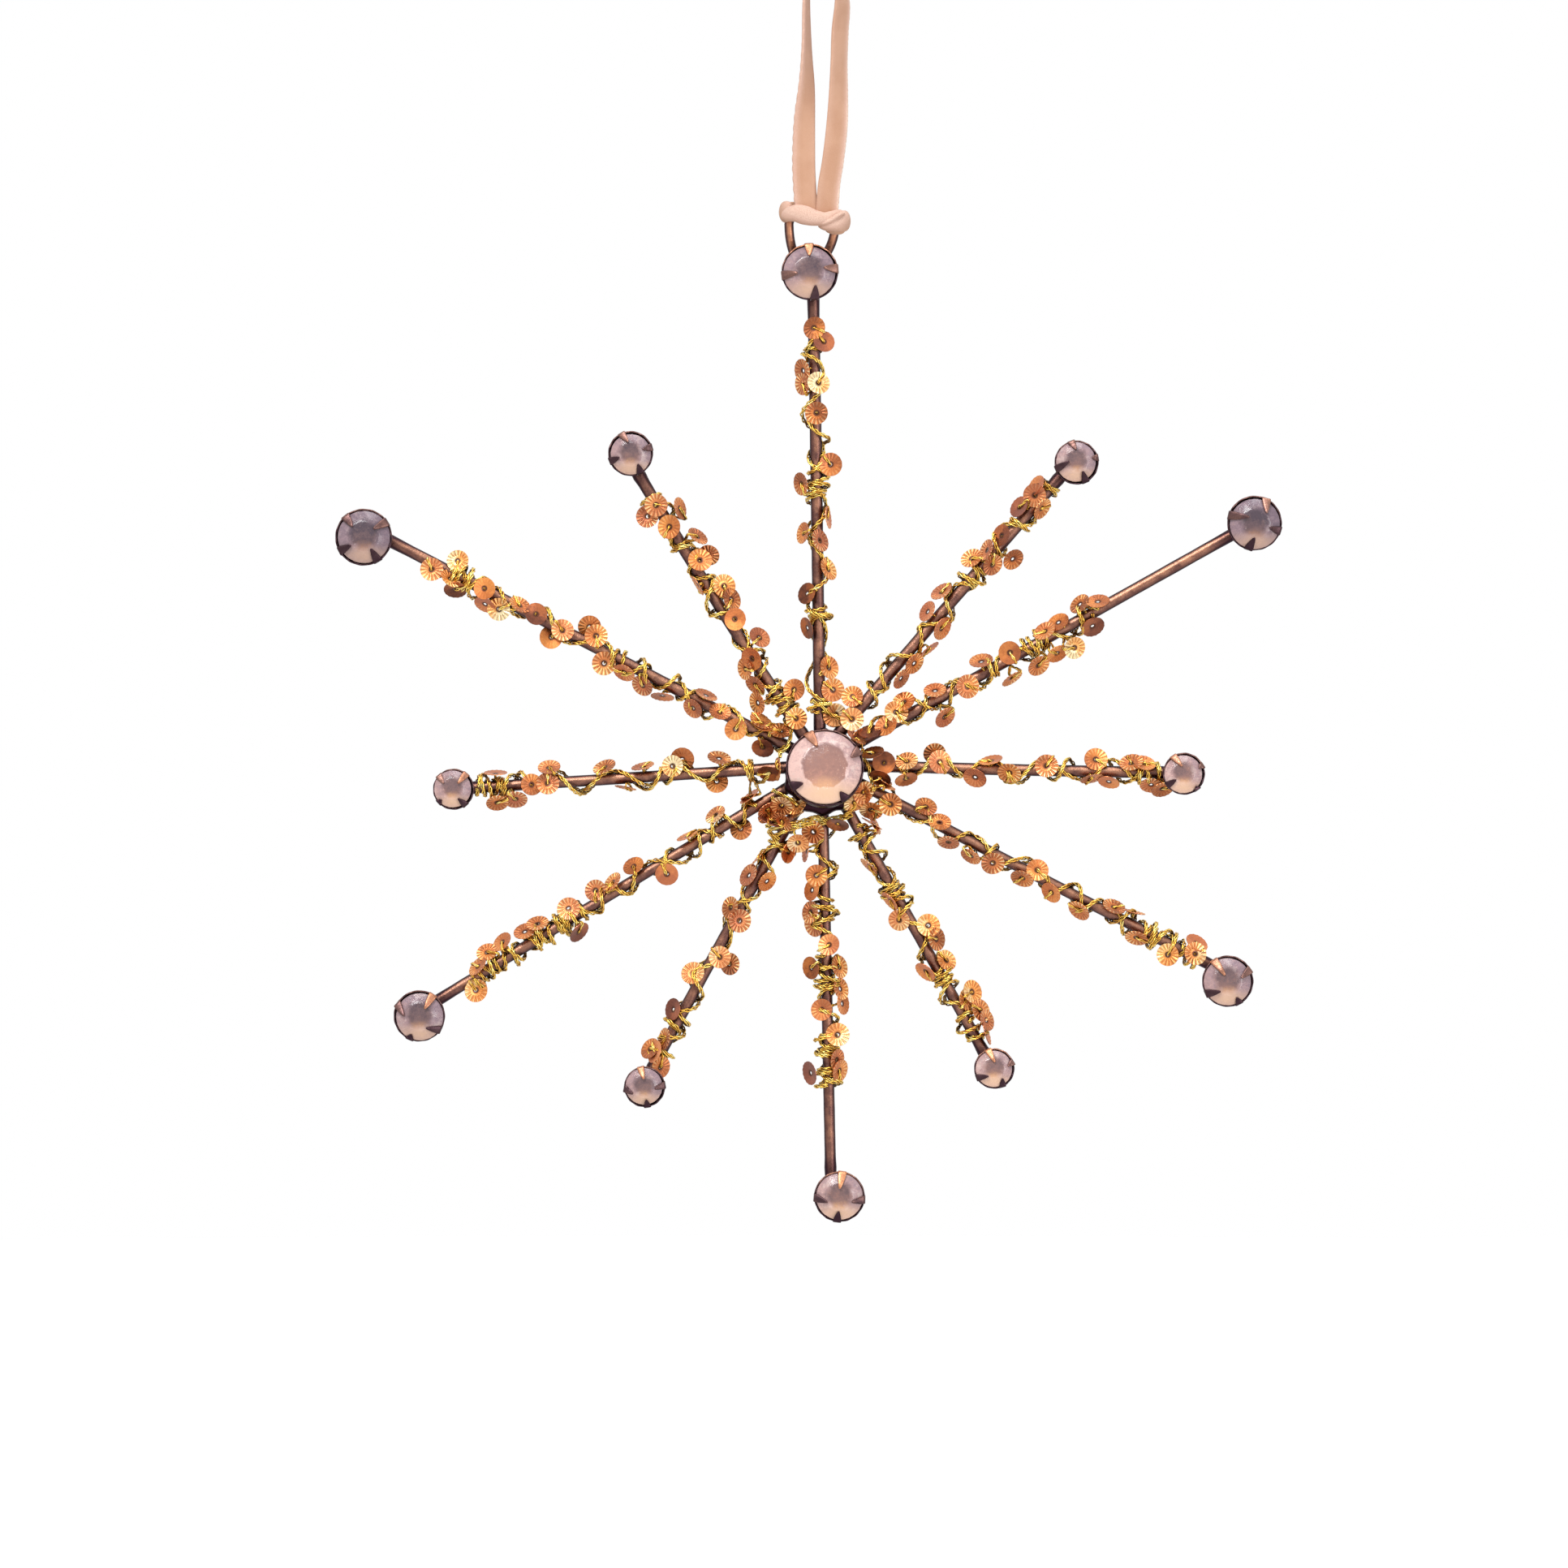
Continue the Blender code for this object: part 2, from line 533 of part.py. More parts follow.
hook_point = new_empty("ribbon_twist_axis", (0, 0, 0))
bail_top = new_empty("bail_pivot", (PIVOT.x, 0, -LOOP_TOP), hook_point)
star_centre = new_empty("star_centre", -PIVOT, bail_top)

add_hub_plate()
for data in RAYS:
    ray = Ray(data)
    add_rod(ray, data["hour"])
    add_setting(f"tip_setting_{data['hour']:02d}", data["kind"], data["claws"], ray.stone)
    add_stone(f"tip_stone_{data['hour']:02d}", data["kind"], ray.stone)
    add_garland(ray, data["hour"], data["wound"], data["turns"])
add_setting("centre_setting", CENTRE_KIND, CENTRE_CLAWS, Vector(), CENTRE_TILT)
add_stone("centre_stone", CENTRE_KIND, Vector(), CENTRE_TILT)
add_bail()
add_hitch(bail_top)
strand_foot = new_empty("strand_foot", (0, 0, -LOOP_TOP), hook_point)
flat_strand("ribbon_strand_left", LEFT_STRAND, strand_foot)
flat_strand("ribbon_strand_right", RIGHT_STRAND, strand_foot)
add_knot(hook_point)
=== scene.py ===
import math
import random

import bmesh
import bpy
from mathutils import Matrix, Vector
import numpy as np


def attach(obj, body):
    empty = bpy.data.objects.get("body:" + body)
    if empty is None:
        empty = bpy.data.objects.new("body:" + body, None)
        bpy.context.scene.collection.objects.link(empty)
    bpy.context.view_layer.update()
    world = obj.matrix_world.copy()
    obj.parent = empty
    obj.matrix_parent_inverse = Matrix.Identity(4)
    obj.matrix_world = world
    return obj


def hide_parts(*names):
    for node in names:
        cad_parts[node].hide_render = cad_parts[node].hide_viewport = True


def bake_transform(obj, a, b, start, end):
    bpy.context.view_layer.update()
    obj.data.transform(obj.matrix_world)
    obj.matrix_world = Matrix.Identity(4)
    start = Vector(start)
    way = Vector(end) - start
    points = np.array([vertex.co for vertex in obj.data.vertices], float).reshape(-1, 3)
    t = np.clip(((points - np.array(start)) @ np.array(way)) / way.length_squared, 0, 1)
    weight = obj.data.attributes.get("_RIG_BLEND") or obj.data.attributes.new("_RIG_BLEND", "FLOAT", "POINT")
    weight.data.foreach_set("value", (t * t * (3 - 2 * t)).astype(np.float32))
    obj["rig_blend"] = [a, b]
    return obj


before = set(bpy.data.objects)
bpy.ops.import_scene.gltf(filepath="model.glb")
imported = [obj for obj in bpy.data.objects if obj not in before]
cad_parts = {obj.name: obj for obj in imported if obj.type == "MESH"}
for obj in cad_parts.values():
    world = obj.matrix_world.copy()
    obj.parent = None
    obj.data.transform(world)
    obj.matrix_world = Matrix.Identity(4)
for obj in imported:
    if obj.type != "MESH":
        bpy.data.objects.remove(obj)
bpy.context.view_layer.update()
mm = 0.001  # shapes are worked out in millimetres and scaled as they become pieces
front = Vector((0, -1, 0))
print("frame loaded")

# Where the star and its pivot are in the row frame, in millimetres
place = dict(starDepth=1.2, starHeight=-113.85, pivotX=-1.7, pivotHeight=-37.6)


def starPoint(x, z, y=0.0):
    return Vector((x, place["starDepth"] + y, place["starHeight"] + z))


def pivotPoint(x):
    return Vector((x, 0, place["pivotHeight"]))


starMiddle = starPoint(0, 0)


def show(name, data):
    made = bpy.data.objects.new(name, data)
    bpy.context.scene.collection.objects.link(made)
    return made


# The camera comes first
view = dict(pixelsPerMm=9.1, imageWidth=1932, middleX=-5.49, middleZ=-2.2, distance=1000, sensor=36, clip=(0.01, 20))


def addCamera():
    data = bpy.data.cameras.new("camera")
    data.sensor_width = view["sensor"]
    data.lens = view["sensor"] * view["distance"] / (view["imageWidth"] / view["pixelsPerMm"])
    data.clip_start, data.clip_end = view["clip"]
    camera = show("camera", data)
    camera.location = (starPoint(view["middleX"], view["middleZ"]) + front * view["distance"]) * mm
    camera.rotation_euler = (math.radians(90), 0, 0)
    bpy.context.scene.camera = camera


addCamera()


# A shader socket that takes part in sums
class Value:
    def __init__(self, graph, socket):
        self.graph = graph
        self.socket = socket

    def __add__(self, other):
        return self.graph.math("ADD", self, other)

    def __radd__(self, other):
        return self.graph.math("ADD", other, self)

    def __sub__(self, other):
        return self.graph.math("SUBTRACT", self, other)

    def __rsub__(self, other):
        return self.graph.math("SUBTRACT", other, self)

    def __mul__(self, other):
        return self.graph.math("MULTIPLY", self, other)

    def __rmul__(self, other):
        return self.graph.math("MULTIPLY", other, self)

    def __truediv__(self, other):
        return self.graph.math("DIVIDE", self, other)


# A tree of shader nodes
class Graph:
    def __init__(self, tree):
        self.tree = tree

    def node(self, kind, settings=None, inputs=None, output=0):
        made = self.tree.nodes.new("ShaderNode" + kind)
        for key, value in (settings or {}).items():
            if key == "stops":
                self.setStops(made.color_ramp, value)
            else:
                setattr(made, key, value)
        for key, value in (inputs or {}).items():
            self.feed(made.inputs[key], value)
        return Value(self, made.outputs[output])

    def setStops(self, ramp, stops):
        while len(ramp.elements) < len(stops):
            ramp.elements.new(0.5)
        for element, (position, *colour) in zip(ramp.elements, stops):
            element.position = position
            element.color = (*colour, 1)

    def feed(self, socket, value):
        if isinstance(value, Value):
            self.tree.links.new(value.socket, socket)
        elif isinstance(value, tuple) and len(value) == 3 and socket.type == "RGBA":
            socket.default_value = (*value, 1)
        else:
            socket.default_value = value

    def math(self, operation, *terms):
        return self.node("Math", {"operation": operation}, dict(enumerate(terms)))

    def mix(self, share, first, second):
        return self.node("Mix", {"data_type": "RGBA", "blend_type": "MIX"}, {0: share, 6: first, 7: second}, 2)

    def ramp(self, value, *stops):
        return self.node("ValToRGB", {"stops": stops}, {"Fac": value})

    def rise(self, value, low, high):
        bounds = {"Value": value, "From Min": low, "From Max": high}
        return self.node("MapRange", {"interpolation_type": "SMOOTHSTEP"}, bounds)

    def held(self, value):
        return self.node("Clamp", inputs={"Value": value})

    def split(self, vector):
        first = self.node("SeparateXYZ", inputs={0: vector})
        return [Value(self, socket) for socket in first.socket.node.outputs]

    def attribute(self, name, output="Fac"):
        return self.node("Attribute", {"attribute_name": name}, output=output)

    def reach(self, across, up):
        return self.math("SQRT", across * across + up * up)

    def noise(self, scale, detail, roughness):
        spot = self.node("TexCoord", output="Object")
        inMm = self.node("Mapping", inputs={"Vector": spot, "Scale": (1000, 1000, 1000)})
        return self.node("TexNoise", inputs={"Vector": inMm, "Scale": scale, "Detail": detail, "Roughness": roughness})


# A material and its nodes
class Finish(Graph):
    def __init__(self, name, **constants):
        self.material = bpy.data.materials.new(name)
        self.material.use_nodes = True
        super().__init__(self.material.node_tree)
        self.surface = self.tree.nodes["Principled BSDF"]
        for socket, value in constants.items():
            self.surface.inputs[socket.replace("_", " ")].default_value = value

    def finish(self, colour, bump=None, depth=0.02, **links):
        self.feed(self.surface.inputs["Base Color"], colour)
        for socket, value in links.items():
            self.feed(self.surface.inputs[socket.replace("_", " ")], value)
        if bump is not None:
            normal = self.node("Bump", inputs={"Height": bump, "Distance": depth * mm, "Strength": 1.0})
            self.feed(self.surface.inputs["Normal"], normal)
        return self.material


def rodFinish():
    # side is 0 along the front of a wire and near 1 on its flanks, which are darkened as painted shade; it is raised
    # further near the centre, near the settings and on the solder, making them darker. The two other attributes carry
    # painted highlights: one along the upper front of level wires, and a stronger, wider one on the bail
    rod = Finish("rodCopper", Metallic=1.0)
    patina, specks = rod.noise(0.55, 4, 0.6), rod.noise(3.2, 3, 0.6)
    side, streak, polish = (rod.attribute(name) for name in ("side", "streak", "polish"))
    colour = rod.mix(rod.rise(patina, 0.36, 0.66), (0.145, 0.067, 0.057), (0.25, 0.12, 0.088))
    colour = rod.mix(rod.rise(specks, 0.5, 0.72) * 0.4, colour, (0.085, 0.04, 0.042))
    # Painted highlight: the front of a wire, away from its shaded flanks, is painted lighter copper, patchy with the
    # patina and stronger and wider on the bail
    frontHighlight = (1 - rod.rise(side, 0.01, 0.12 + 0.12 * polish)) * rod.held(rod.rise(patina, 0.3, 0.7) + polish * 0.6)
    colour = rod.mix(frontHighlight * (0.4 + 0.5 * polish), colour, (0.66, 0.31, 0.175))
    # Painted highlight along the upper front of level wires
    colour = rod.mix(streak * (0.25 + 0.45 * patina), colour, (0.78, 0.40, 0.24))
    # Painted shade on the flanks, and darker near the centre, near the settings and on the solder
    colour = rod.mix(rod.rise(side, 0.16, 0.58) * 0.95, colour, (0.026, 0.009, 0.017))
    return rod.finish(colour, bump=specks, depth=0.05, Roughness=0.33 + 0.14 * patina)


def settingFinish():
    # claw runs from 0, the dark cup, to 1, a bright claw; it carries painted light and shade: the rim's upper side and
    # the claws towards the light are painted bright, the rim's lower side and the claws away from it dark
    cup = Finish("settingCopper", Metallic=1.0)
    patina, specks = cup.noise(0.8, 4, 0.6), cup.noise(4.0, 3, 0.6)
    colour = cup.ramp(
        cup.attribute("claw") + (patina - 0.5) * 0.45,
        (0.0, 0.045, 0.022, 0.03), (0.25, 0.09, 0.05, 0.056), (0.5, 0.28, 0.15, 0.12), (0.8, 0.56, 0.25, 0.14),
        (1.0, 0.74, 0.33, 0.17),
    )
    colour = cup.mix(cup.rise(specks, 0.5, 0.7) * 0.4, colour, (0.045, 0.025, 0.03))
    return cup.finish(colour, bump=specks, depth=0.025, Roughness=0.32 + 0.14 * patina)


def stoneFinish():
    # gem holds a point's place in its stone, over the stone's radius; shade runs from dark to light stones, facet is
    # a chance number for each facet, and crisp is 1 where the table's edge is sharp
    stone = Finish("opalGlass", Roughness=0.09, IOR=1.5, Coat_Weight=0.12, Coat_Roughness=0.03)
    across, up, _ = stone.split(stone.attribute("gem", "Vector"))
    shade, facet, crisp = (stone.attribute(name) for name in ("shade", "facet", "crisp"))
    soft = 1 - crisp
    cloud, flaw, grain = stone.noise(0.62, 4, 0.62), stone.noise(1.3, 5, 0.7), stone.noise(4.2, 3, 0.7)
    cloudy, flawed, grainy = cloud - 0.5, flaw - 0.5, grain - 0.5
    reach, above = stone.reach(across, up), up - soft * 0.1

    # The flat table in the middle, with a wavy edge, and a painted glow of light, warm and low in the stone
    corner = stone.math("COSINE", stone.math("ARCTAN2", up, across) * 9 + 4 * cloud)
    edge = stone.reach(across, above) + flawed * 0.1 + cloudy * (0.08 + soft * 0.25) + corner * 0.018
    table = 1 - stone.rise(edge, 0.57 - soft * 0.2, 0.62 + soft * 0.08)
    low = up + 0.57 + crisp * 0.08
    spread = stone.math("SQRT", across * across * 0.9 + low * low * (1.9 + crisp * 0.3))
    glow = 1 - stone.rise(spread + flawed * 0.55 + grainy * 0.4, 0.08, 0.7)

    # The crown round it, cloudy in places, painted lighter towards the lower left and darker to the upper right, and
    # warm low down where the painted glow reaches it
    light = shade - up * 0.14 - across * 0.14 + 0.02 + (facet - 0.5) * 0.14 + flawed * 0.55 + grainy * 0.4
    crown = stone.ramp(
        stone.held(light),
        (0.0, 0.17, 0.115, 0.15), (0.35, 0.32, 0.215, 0.245), (0.7, 0.50, 0.31, 0.30), (1.0, 0.84, 0.55, 0.49),
    )
    crown = stone.mix(stone.rise(cloud, 0.54, 0.66) * (0.12 + shade * 0.38), crown, (0.80, 0.64, 0.58))
    warmCrown = stone.mix(shade, (0.50, 0.31, 0.24), (0.98, 0.63, 0.40))
    crown = stone.mix(stone.rise(up * -1, 0.2, 0.8) * 0.6 + glow * 0.4, crown, warmCrown)

    # What shows through the table, darker towards the top as painted shade, with the painted glow low down
    inner = stone.ramp(
        stone.held(shade * 0.84 + flawed * 1.0 + cloudy * 0.5 + grainy * 0.35 - up * 0.3),
        (0.0, 0.07, 0.045, 0.062), (0.4, 0.18, 0.105, 0.105), (0.75, 0.30, 0.155, 0.13), (1.0, 0.54, 0.26, 0.19),
    )
    inner = stone.mix(glow * 0.92, inner, stone.mix(shade, (0.26, 0.13, 0.10), (1.0, 0.54, 0.26)))
    inner = stone.mix(crisp * 0.35, inner, (0.50, 0.25, 0.19))
    colour = stone.mix(table, crown, inner)

    # The table's dark edge, bright specks and the dark girdle
    band = stone.rise(edge, 0.47, 0.57) * (1 - stone.rise(edge, 0.6, 0.67)) * (0.25 + crisp * 0.75)
    band = band * stone.rise(up - across * 0.4, -0.3, 0.4) * (0.8 - 0.2 * shade)
    colour = stone.mix(band, colour, stone.mix(shade, (0.07, 0.04, 0.06), (0.32, 0.17, 0.15)))
    sparkle = stone.rise(grain, 0.6, 0.68) * stone.rise(flaw, 0.48, 0.6)
    sparkle = sparkle * stone.rise(reach, 0.3, 0.45) * (1 - stone.rise(reach, 0.66, 0.8))
    colour = stone.mix(sparkle * (0.2 + crisp * 0.55), colour, (0.95, 0.86, 0.80))
    colour = stone.mix(stone.rise(reach, 0.95, 1.0) * 0.6, colour, (0.10, 0.065, 0.075))
    return stone.finish(colour, bump=flaw, depth=0.07)


def sequinFinish():
    # disc holds a point's place in its sequin, over the sequin's radius; tone runs from dark to light sequins, pink
    # from orange to pink ones, and plain is 1 where the flutes are pressed flat
    disc = Finish("sequinCopper", Metallic=0.75, Coat_Weight=0.05, Coat_Roughness=0.15)
    across, up, _ = disc.split(disc.attribute("disc", "Vector"))
    tone = disc.attribute("tone")
    reach = disc.reach(across, up)
    wave = disc.math("COSINE", disc.math("ARCTAN2", up, across) * sequin["flutes"])
    fluted = disc.rise(reach, 0.36, 0.62) * (1 - disc.attribute("plain"))
    wear = disc.noise(1.6, 3, 0.6)
    gleam = disc.rise(across / (reach + 0.01) + (wear - 0.5) * 1.5, -0.5, 0.9)  # one side of a disc catches more light
    colour = disc.ramp(
        tone + (wear - 0.5) * 0.3 + (gleam - 0.5) * 0.22,
        (0.0, 0.085, 0.030, 0.020), (0.2, 0.27, 0.08, 0.032), (0.45, 0.58, 0.175, 0.046), (0.7, 0.84, 0.31, 0.078),
        (0.85, 1.0, 0.51, 0.16), (1.0, 1.0, 0.84, 0.50),
    )
    colour = disc.mix(disc.attribute("pink") * 0.4, colour, (0.56, 0.19, 0.13))
    # Painted shade in the flutes' grooves and painted highlights on their crests, stronger on the side of the disc that
    # catches more light
    groove = disc.rise(wave * -1, 0.0, 0.9) * fluted
    crest = disc.rise(wave, 0.1, 0.9) * fluted * disc.rise(reach, 0.42, 0.8) * disc.rise(tone, 0.2, 0.5)
    colour = disc.mix(groove * 0.42, colour, (0.33, 0.085, 0.026))
    colour = disc.mix(crest * (0.3 + 0.7 * gleam) * 0.85, colour, (1.0, 0.76, 0.40))
    # Painted shade round the hole
    colour = disc.mix(1 - disc.rise(reach, 0.2, 0.36), colour, (0.10, 0.035, 0.02))
    return disc.finish(colour, bump=wave * fluted + wear * 0.6, depth=0.055, Roughness=0.27 + 0.2 * wear)


def threadFinish():
    # side is 0 where a strand faces out from what it is wound on, and 1 where it is in the shade of its neighbours
    thread = Finish("goldThread", Metallic=0.9)
    change = thread.noise(1.1, 3, 0.6)
    colour = thread.ramp(
        change,
        (0.3, 0.40, 0.175, 0.042), (0.42, 0.75, 0.385, 0.062), (0.54, 0.98, 0.64, 0.12), (0.66, 1.0, 0.82, 0.30),
    )
    colour = thread.mix(thread.rise(thread.attribute("side"), 0.3, 0.95) * 0.92, colour, (0.10, 0.04, 0.012))
    return thread.finish(colour, Roughness=0.2 + 0.16 * change)


def velvetFinish():
    # pale is 1 on the looped edges; on the hitch it is lower, rising towards the front, and painted light makes it
    # higher on tops that face up and lower on undersides
    velvet = Finish("peachVelvet", Roughness=0.95, Sheen_Weight=0.25, Sheen_Roughness=0.45,
                    Sheen_Tint=(1.0, 0.84, 0.76, 1))
    pile, sweep = velvet.noise(9.0, 3, 0.7), velvet.noise(0.3, 2, 0.5)
    pale = velvet.attribute("pale")
    colour = velvet.mix(velvet.rise(sweep, 0.35, 0.65), (0.52, 0.28, 0.172), (0.57, 0.32, 0.205))
    colour = velvet.mix(velvet.rise(pile, 0.4, 0.7) * 0.22, colour, (0.62, 0.395, 0.31))
    paleVelvet = velvet.mix(velvet.rise(pile, 0.3, 0.7), (0.64, 0.40, 0.315), (0.76, 0.51, 0.42))
    colour = velvet.mix(pale, colour, paleVelvet)
    colour = velvet.mix(velvet.rise(pale, 0.8, 0.93) * velvet.rise(pile, 0.4, 0.6), colour, (0.95, 0.77, 0.62))
    return velvet.finish(colour, bump=pile, depth=0.05)


sequin = dict(radius=1.58, hole=0.22, flutes=16, ruffle=0.05, edgeWave=0.006, dish=0.2, thickness=0.08)
rodCopper = rodFinish()
settingCopper = settingFinish()
opalGlass = stoneFinish()
sequinCopper = sequinFinish()
goldThread = threadFinish()
peachVelvet = velvetFinish()
print("finishes made")


def meshFrom(name, bm):
    mesh = bpy.data.meshes.new(name)
    bm.to_mesh(mesh)
    bm.free()
    return mesh


def makePiece(name, bm, body, finish, smooth, *replaces):
    # smooth is the angle in degrees above which an edge stays sharp
    bmesh.ops.scale(bm, verts=bm.verts, vec=(mm, mm, mm))
    mesh = meshFrom(name, bm)
    mesh.materials.append(finish)
    mesh.shade_smooth()
    mesh.set_sharp_from_angle(angle=math.radians(smooth))
    piece = show(name, mesh)
    if body:
        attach(piece, body)
    if replaces:
        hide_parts(*replaces)
    return piece


def thicken(piece, thickness, offset):
    # Gives a sheet its wall and rounds it
    wall = piece.modifiers.new("wall", "SOLIDIFY")
    wall.thickness = thickness * mm
    wall.offset = offset
    soft = piece.modifiers.new("soft", "SUBSURF")
    soft.levels = soft.render_levels = 1


def formOf(guide):
    # An object's form with its modifiers or its bevel, as a bmesh that takes the object's place
    bpy.context.view_layer.update()
    mesh = bpy.data.meshes.new_from_object(guide.evaluated_get(bpy.context.evaluated_depsgraph_get()))
    bpy.data.objects.remove(guide, do_unlink=True)
    bm = bmesh.new()
    bm.from_mesh(mesh)
    bpy.data.meshes.remove(mesh)
    return bm


def tubeShape(paths, radius, resolution):
    # Closed tubes along paths of (point, share of the radius), as one bmesh in millimetres
    curve = bpy.data.curves.new("tube", "CURVE")
    curve.dimensions = "3D"
    curve.bevel_depth = radius
    curve.bevel_resolution = resolution
    curve.use_fill_caps = True
    for path in paths:
        spline = curve.splines.new("POLY")
        spline.points.add(len(path) - 1)
        for spot, (point, share) in zip(spline.points, path):
            spot.co = (*point, 1)
            spot.radius = share
    bm = formOf(show("tube", curve))
    bmesh.ops.remove_doubles(bm, verts=bm.verts, dist=0.0005)
    return bm


def newParts(extruded):
    # The vertices and edges that an extrusion has just drawn out
    verts = {part for part in extruded if isinstance(part, bmesh.types.BMVert)}
    return verts, [part for part in extruded if isinstance(part, bmesh.types.BMEdge) and set(part.verts) <= verts]


def loft(bm, rows, closed=False):
    # A sheet, or a closed tube, through rows of points, each row drawn out from the one before
    verts = [bm.verts.new(point) for point in rows[0]]
    edges = [bm.edges.new(pair) for pair in zip(verts, verts[1:] + verts[:closed])]
    for row in rows[1:]:
        fresh, _ = newParts(bmesh.ops.extrude_edge_only(bm, edges=edges)["geom"])
        pairs = [(edge.other_vert(vert), vert) for vert in fresh for edge in vert.link_edges]
        grown = {old: vert for old, vert in pairs if old not in fresh}
        verts = [grown[vert] for vert in verts]
        for vert, point in zip(verts, row):
            vert.co = point
        edges = [bm.edges.get(pair) for pair in zip(verts, verts[1:] + verts[:closed])]


def faceOut(bm, faces=None):
    bmesh.ops.recalc_face_normals(bm, faces=faces or bm.faces)


def mark(parts, name, measure):
    # Writes a number on each vertex or face, which the materials read
    layer = parts.layers.float.new(name)
    for part in parts:
        part[layer] = measure(part)


def turned(vert):
    # How far a point of a wire turns away from the front, towards its flanks, which are painted darker as painted shade
    return 1 - abs(vert.normal.y)


def upperFrontHighlight(vert):
    # How near a point of a wire lies to its upper front, where a painted highlight goes
    return max(0, 1 - abs(vert.normal.z - 0.42) / 0.3)


def markShade(bm, outward):
    # How far each point of a thread turns away from the way outward there
    bm.normal_update()
    mark(bm.verts, "side", lambda vert: 1 - max(0, vert.normal.dot(outward(vert.co))))


def through(points, steps):
    # A smooth line through the points, with that many steps between each two
    padded = [points[0] * 2 - points[1], *points, points[-1] * 2 - points[-2]]
    line = []
    for a, b, c, d in zip(padded, padded[1:], padded[2:], padded[3:]):
        for step in range(steps):
            t = step / steps
            square, cube = (2 * a - 5 * b + 4 * c - d) * t * t, (3 * b - a - 3 * c + d) * t**3
            line.append(0.5 * (2 * b + (c - a) * t + square + cube))
    return [*line, points[-1]]


def resample(line, step):
    # The same line with points a step apart
    kept = [line[0]]
    left = step
    for a, b in zip(line, line[1:]):
        length = (b - a).length
        done = 0.0
        while length - done >= left:
            done += left
            kept.append(a.lerp(b, done / length))
            left = step
        left -= length - done
    return kept


# The stones and their settings, in millimetres
kinds = dict(
    centre=dict(stone=5.03, table=3.2, crown=1.4, pavilion=2.9, radius=5.3, depth=3.5, facets=13, lobes=20, claw=1.5),
    large=dict(stone=3.44, table=2.05, crown=1.1, pavilion=2.0, radius=3.72, depth=2.5, facets=11, lobes=15, claw=1.3),
    small=dict(stone=2.64, table=1.58, crown=0.85, pavilion=1.5, radius=2.92, depth=2.0, facets=10, lobes=13, claw=1.1),
)
settingWall = dict(thickness=0.24, flare=0.3, toothHeight=0.16, toothLean=0.05, clawColumns=4, clawTip=0.4,
                   clawLift=0.32, upperRim=0.2)
stoneCut = dict(girdle=0.2, bevel=0.045, culet=0.12)

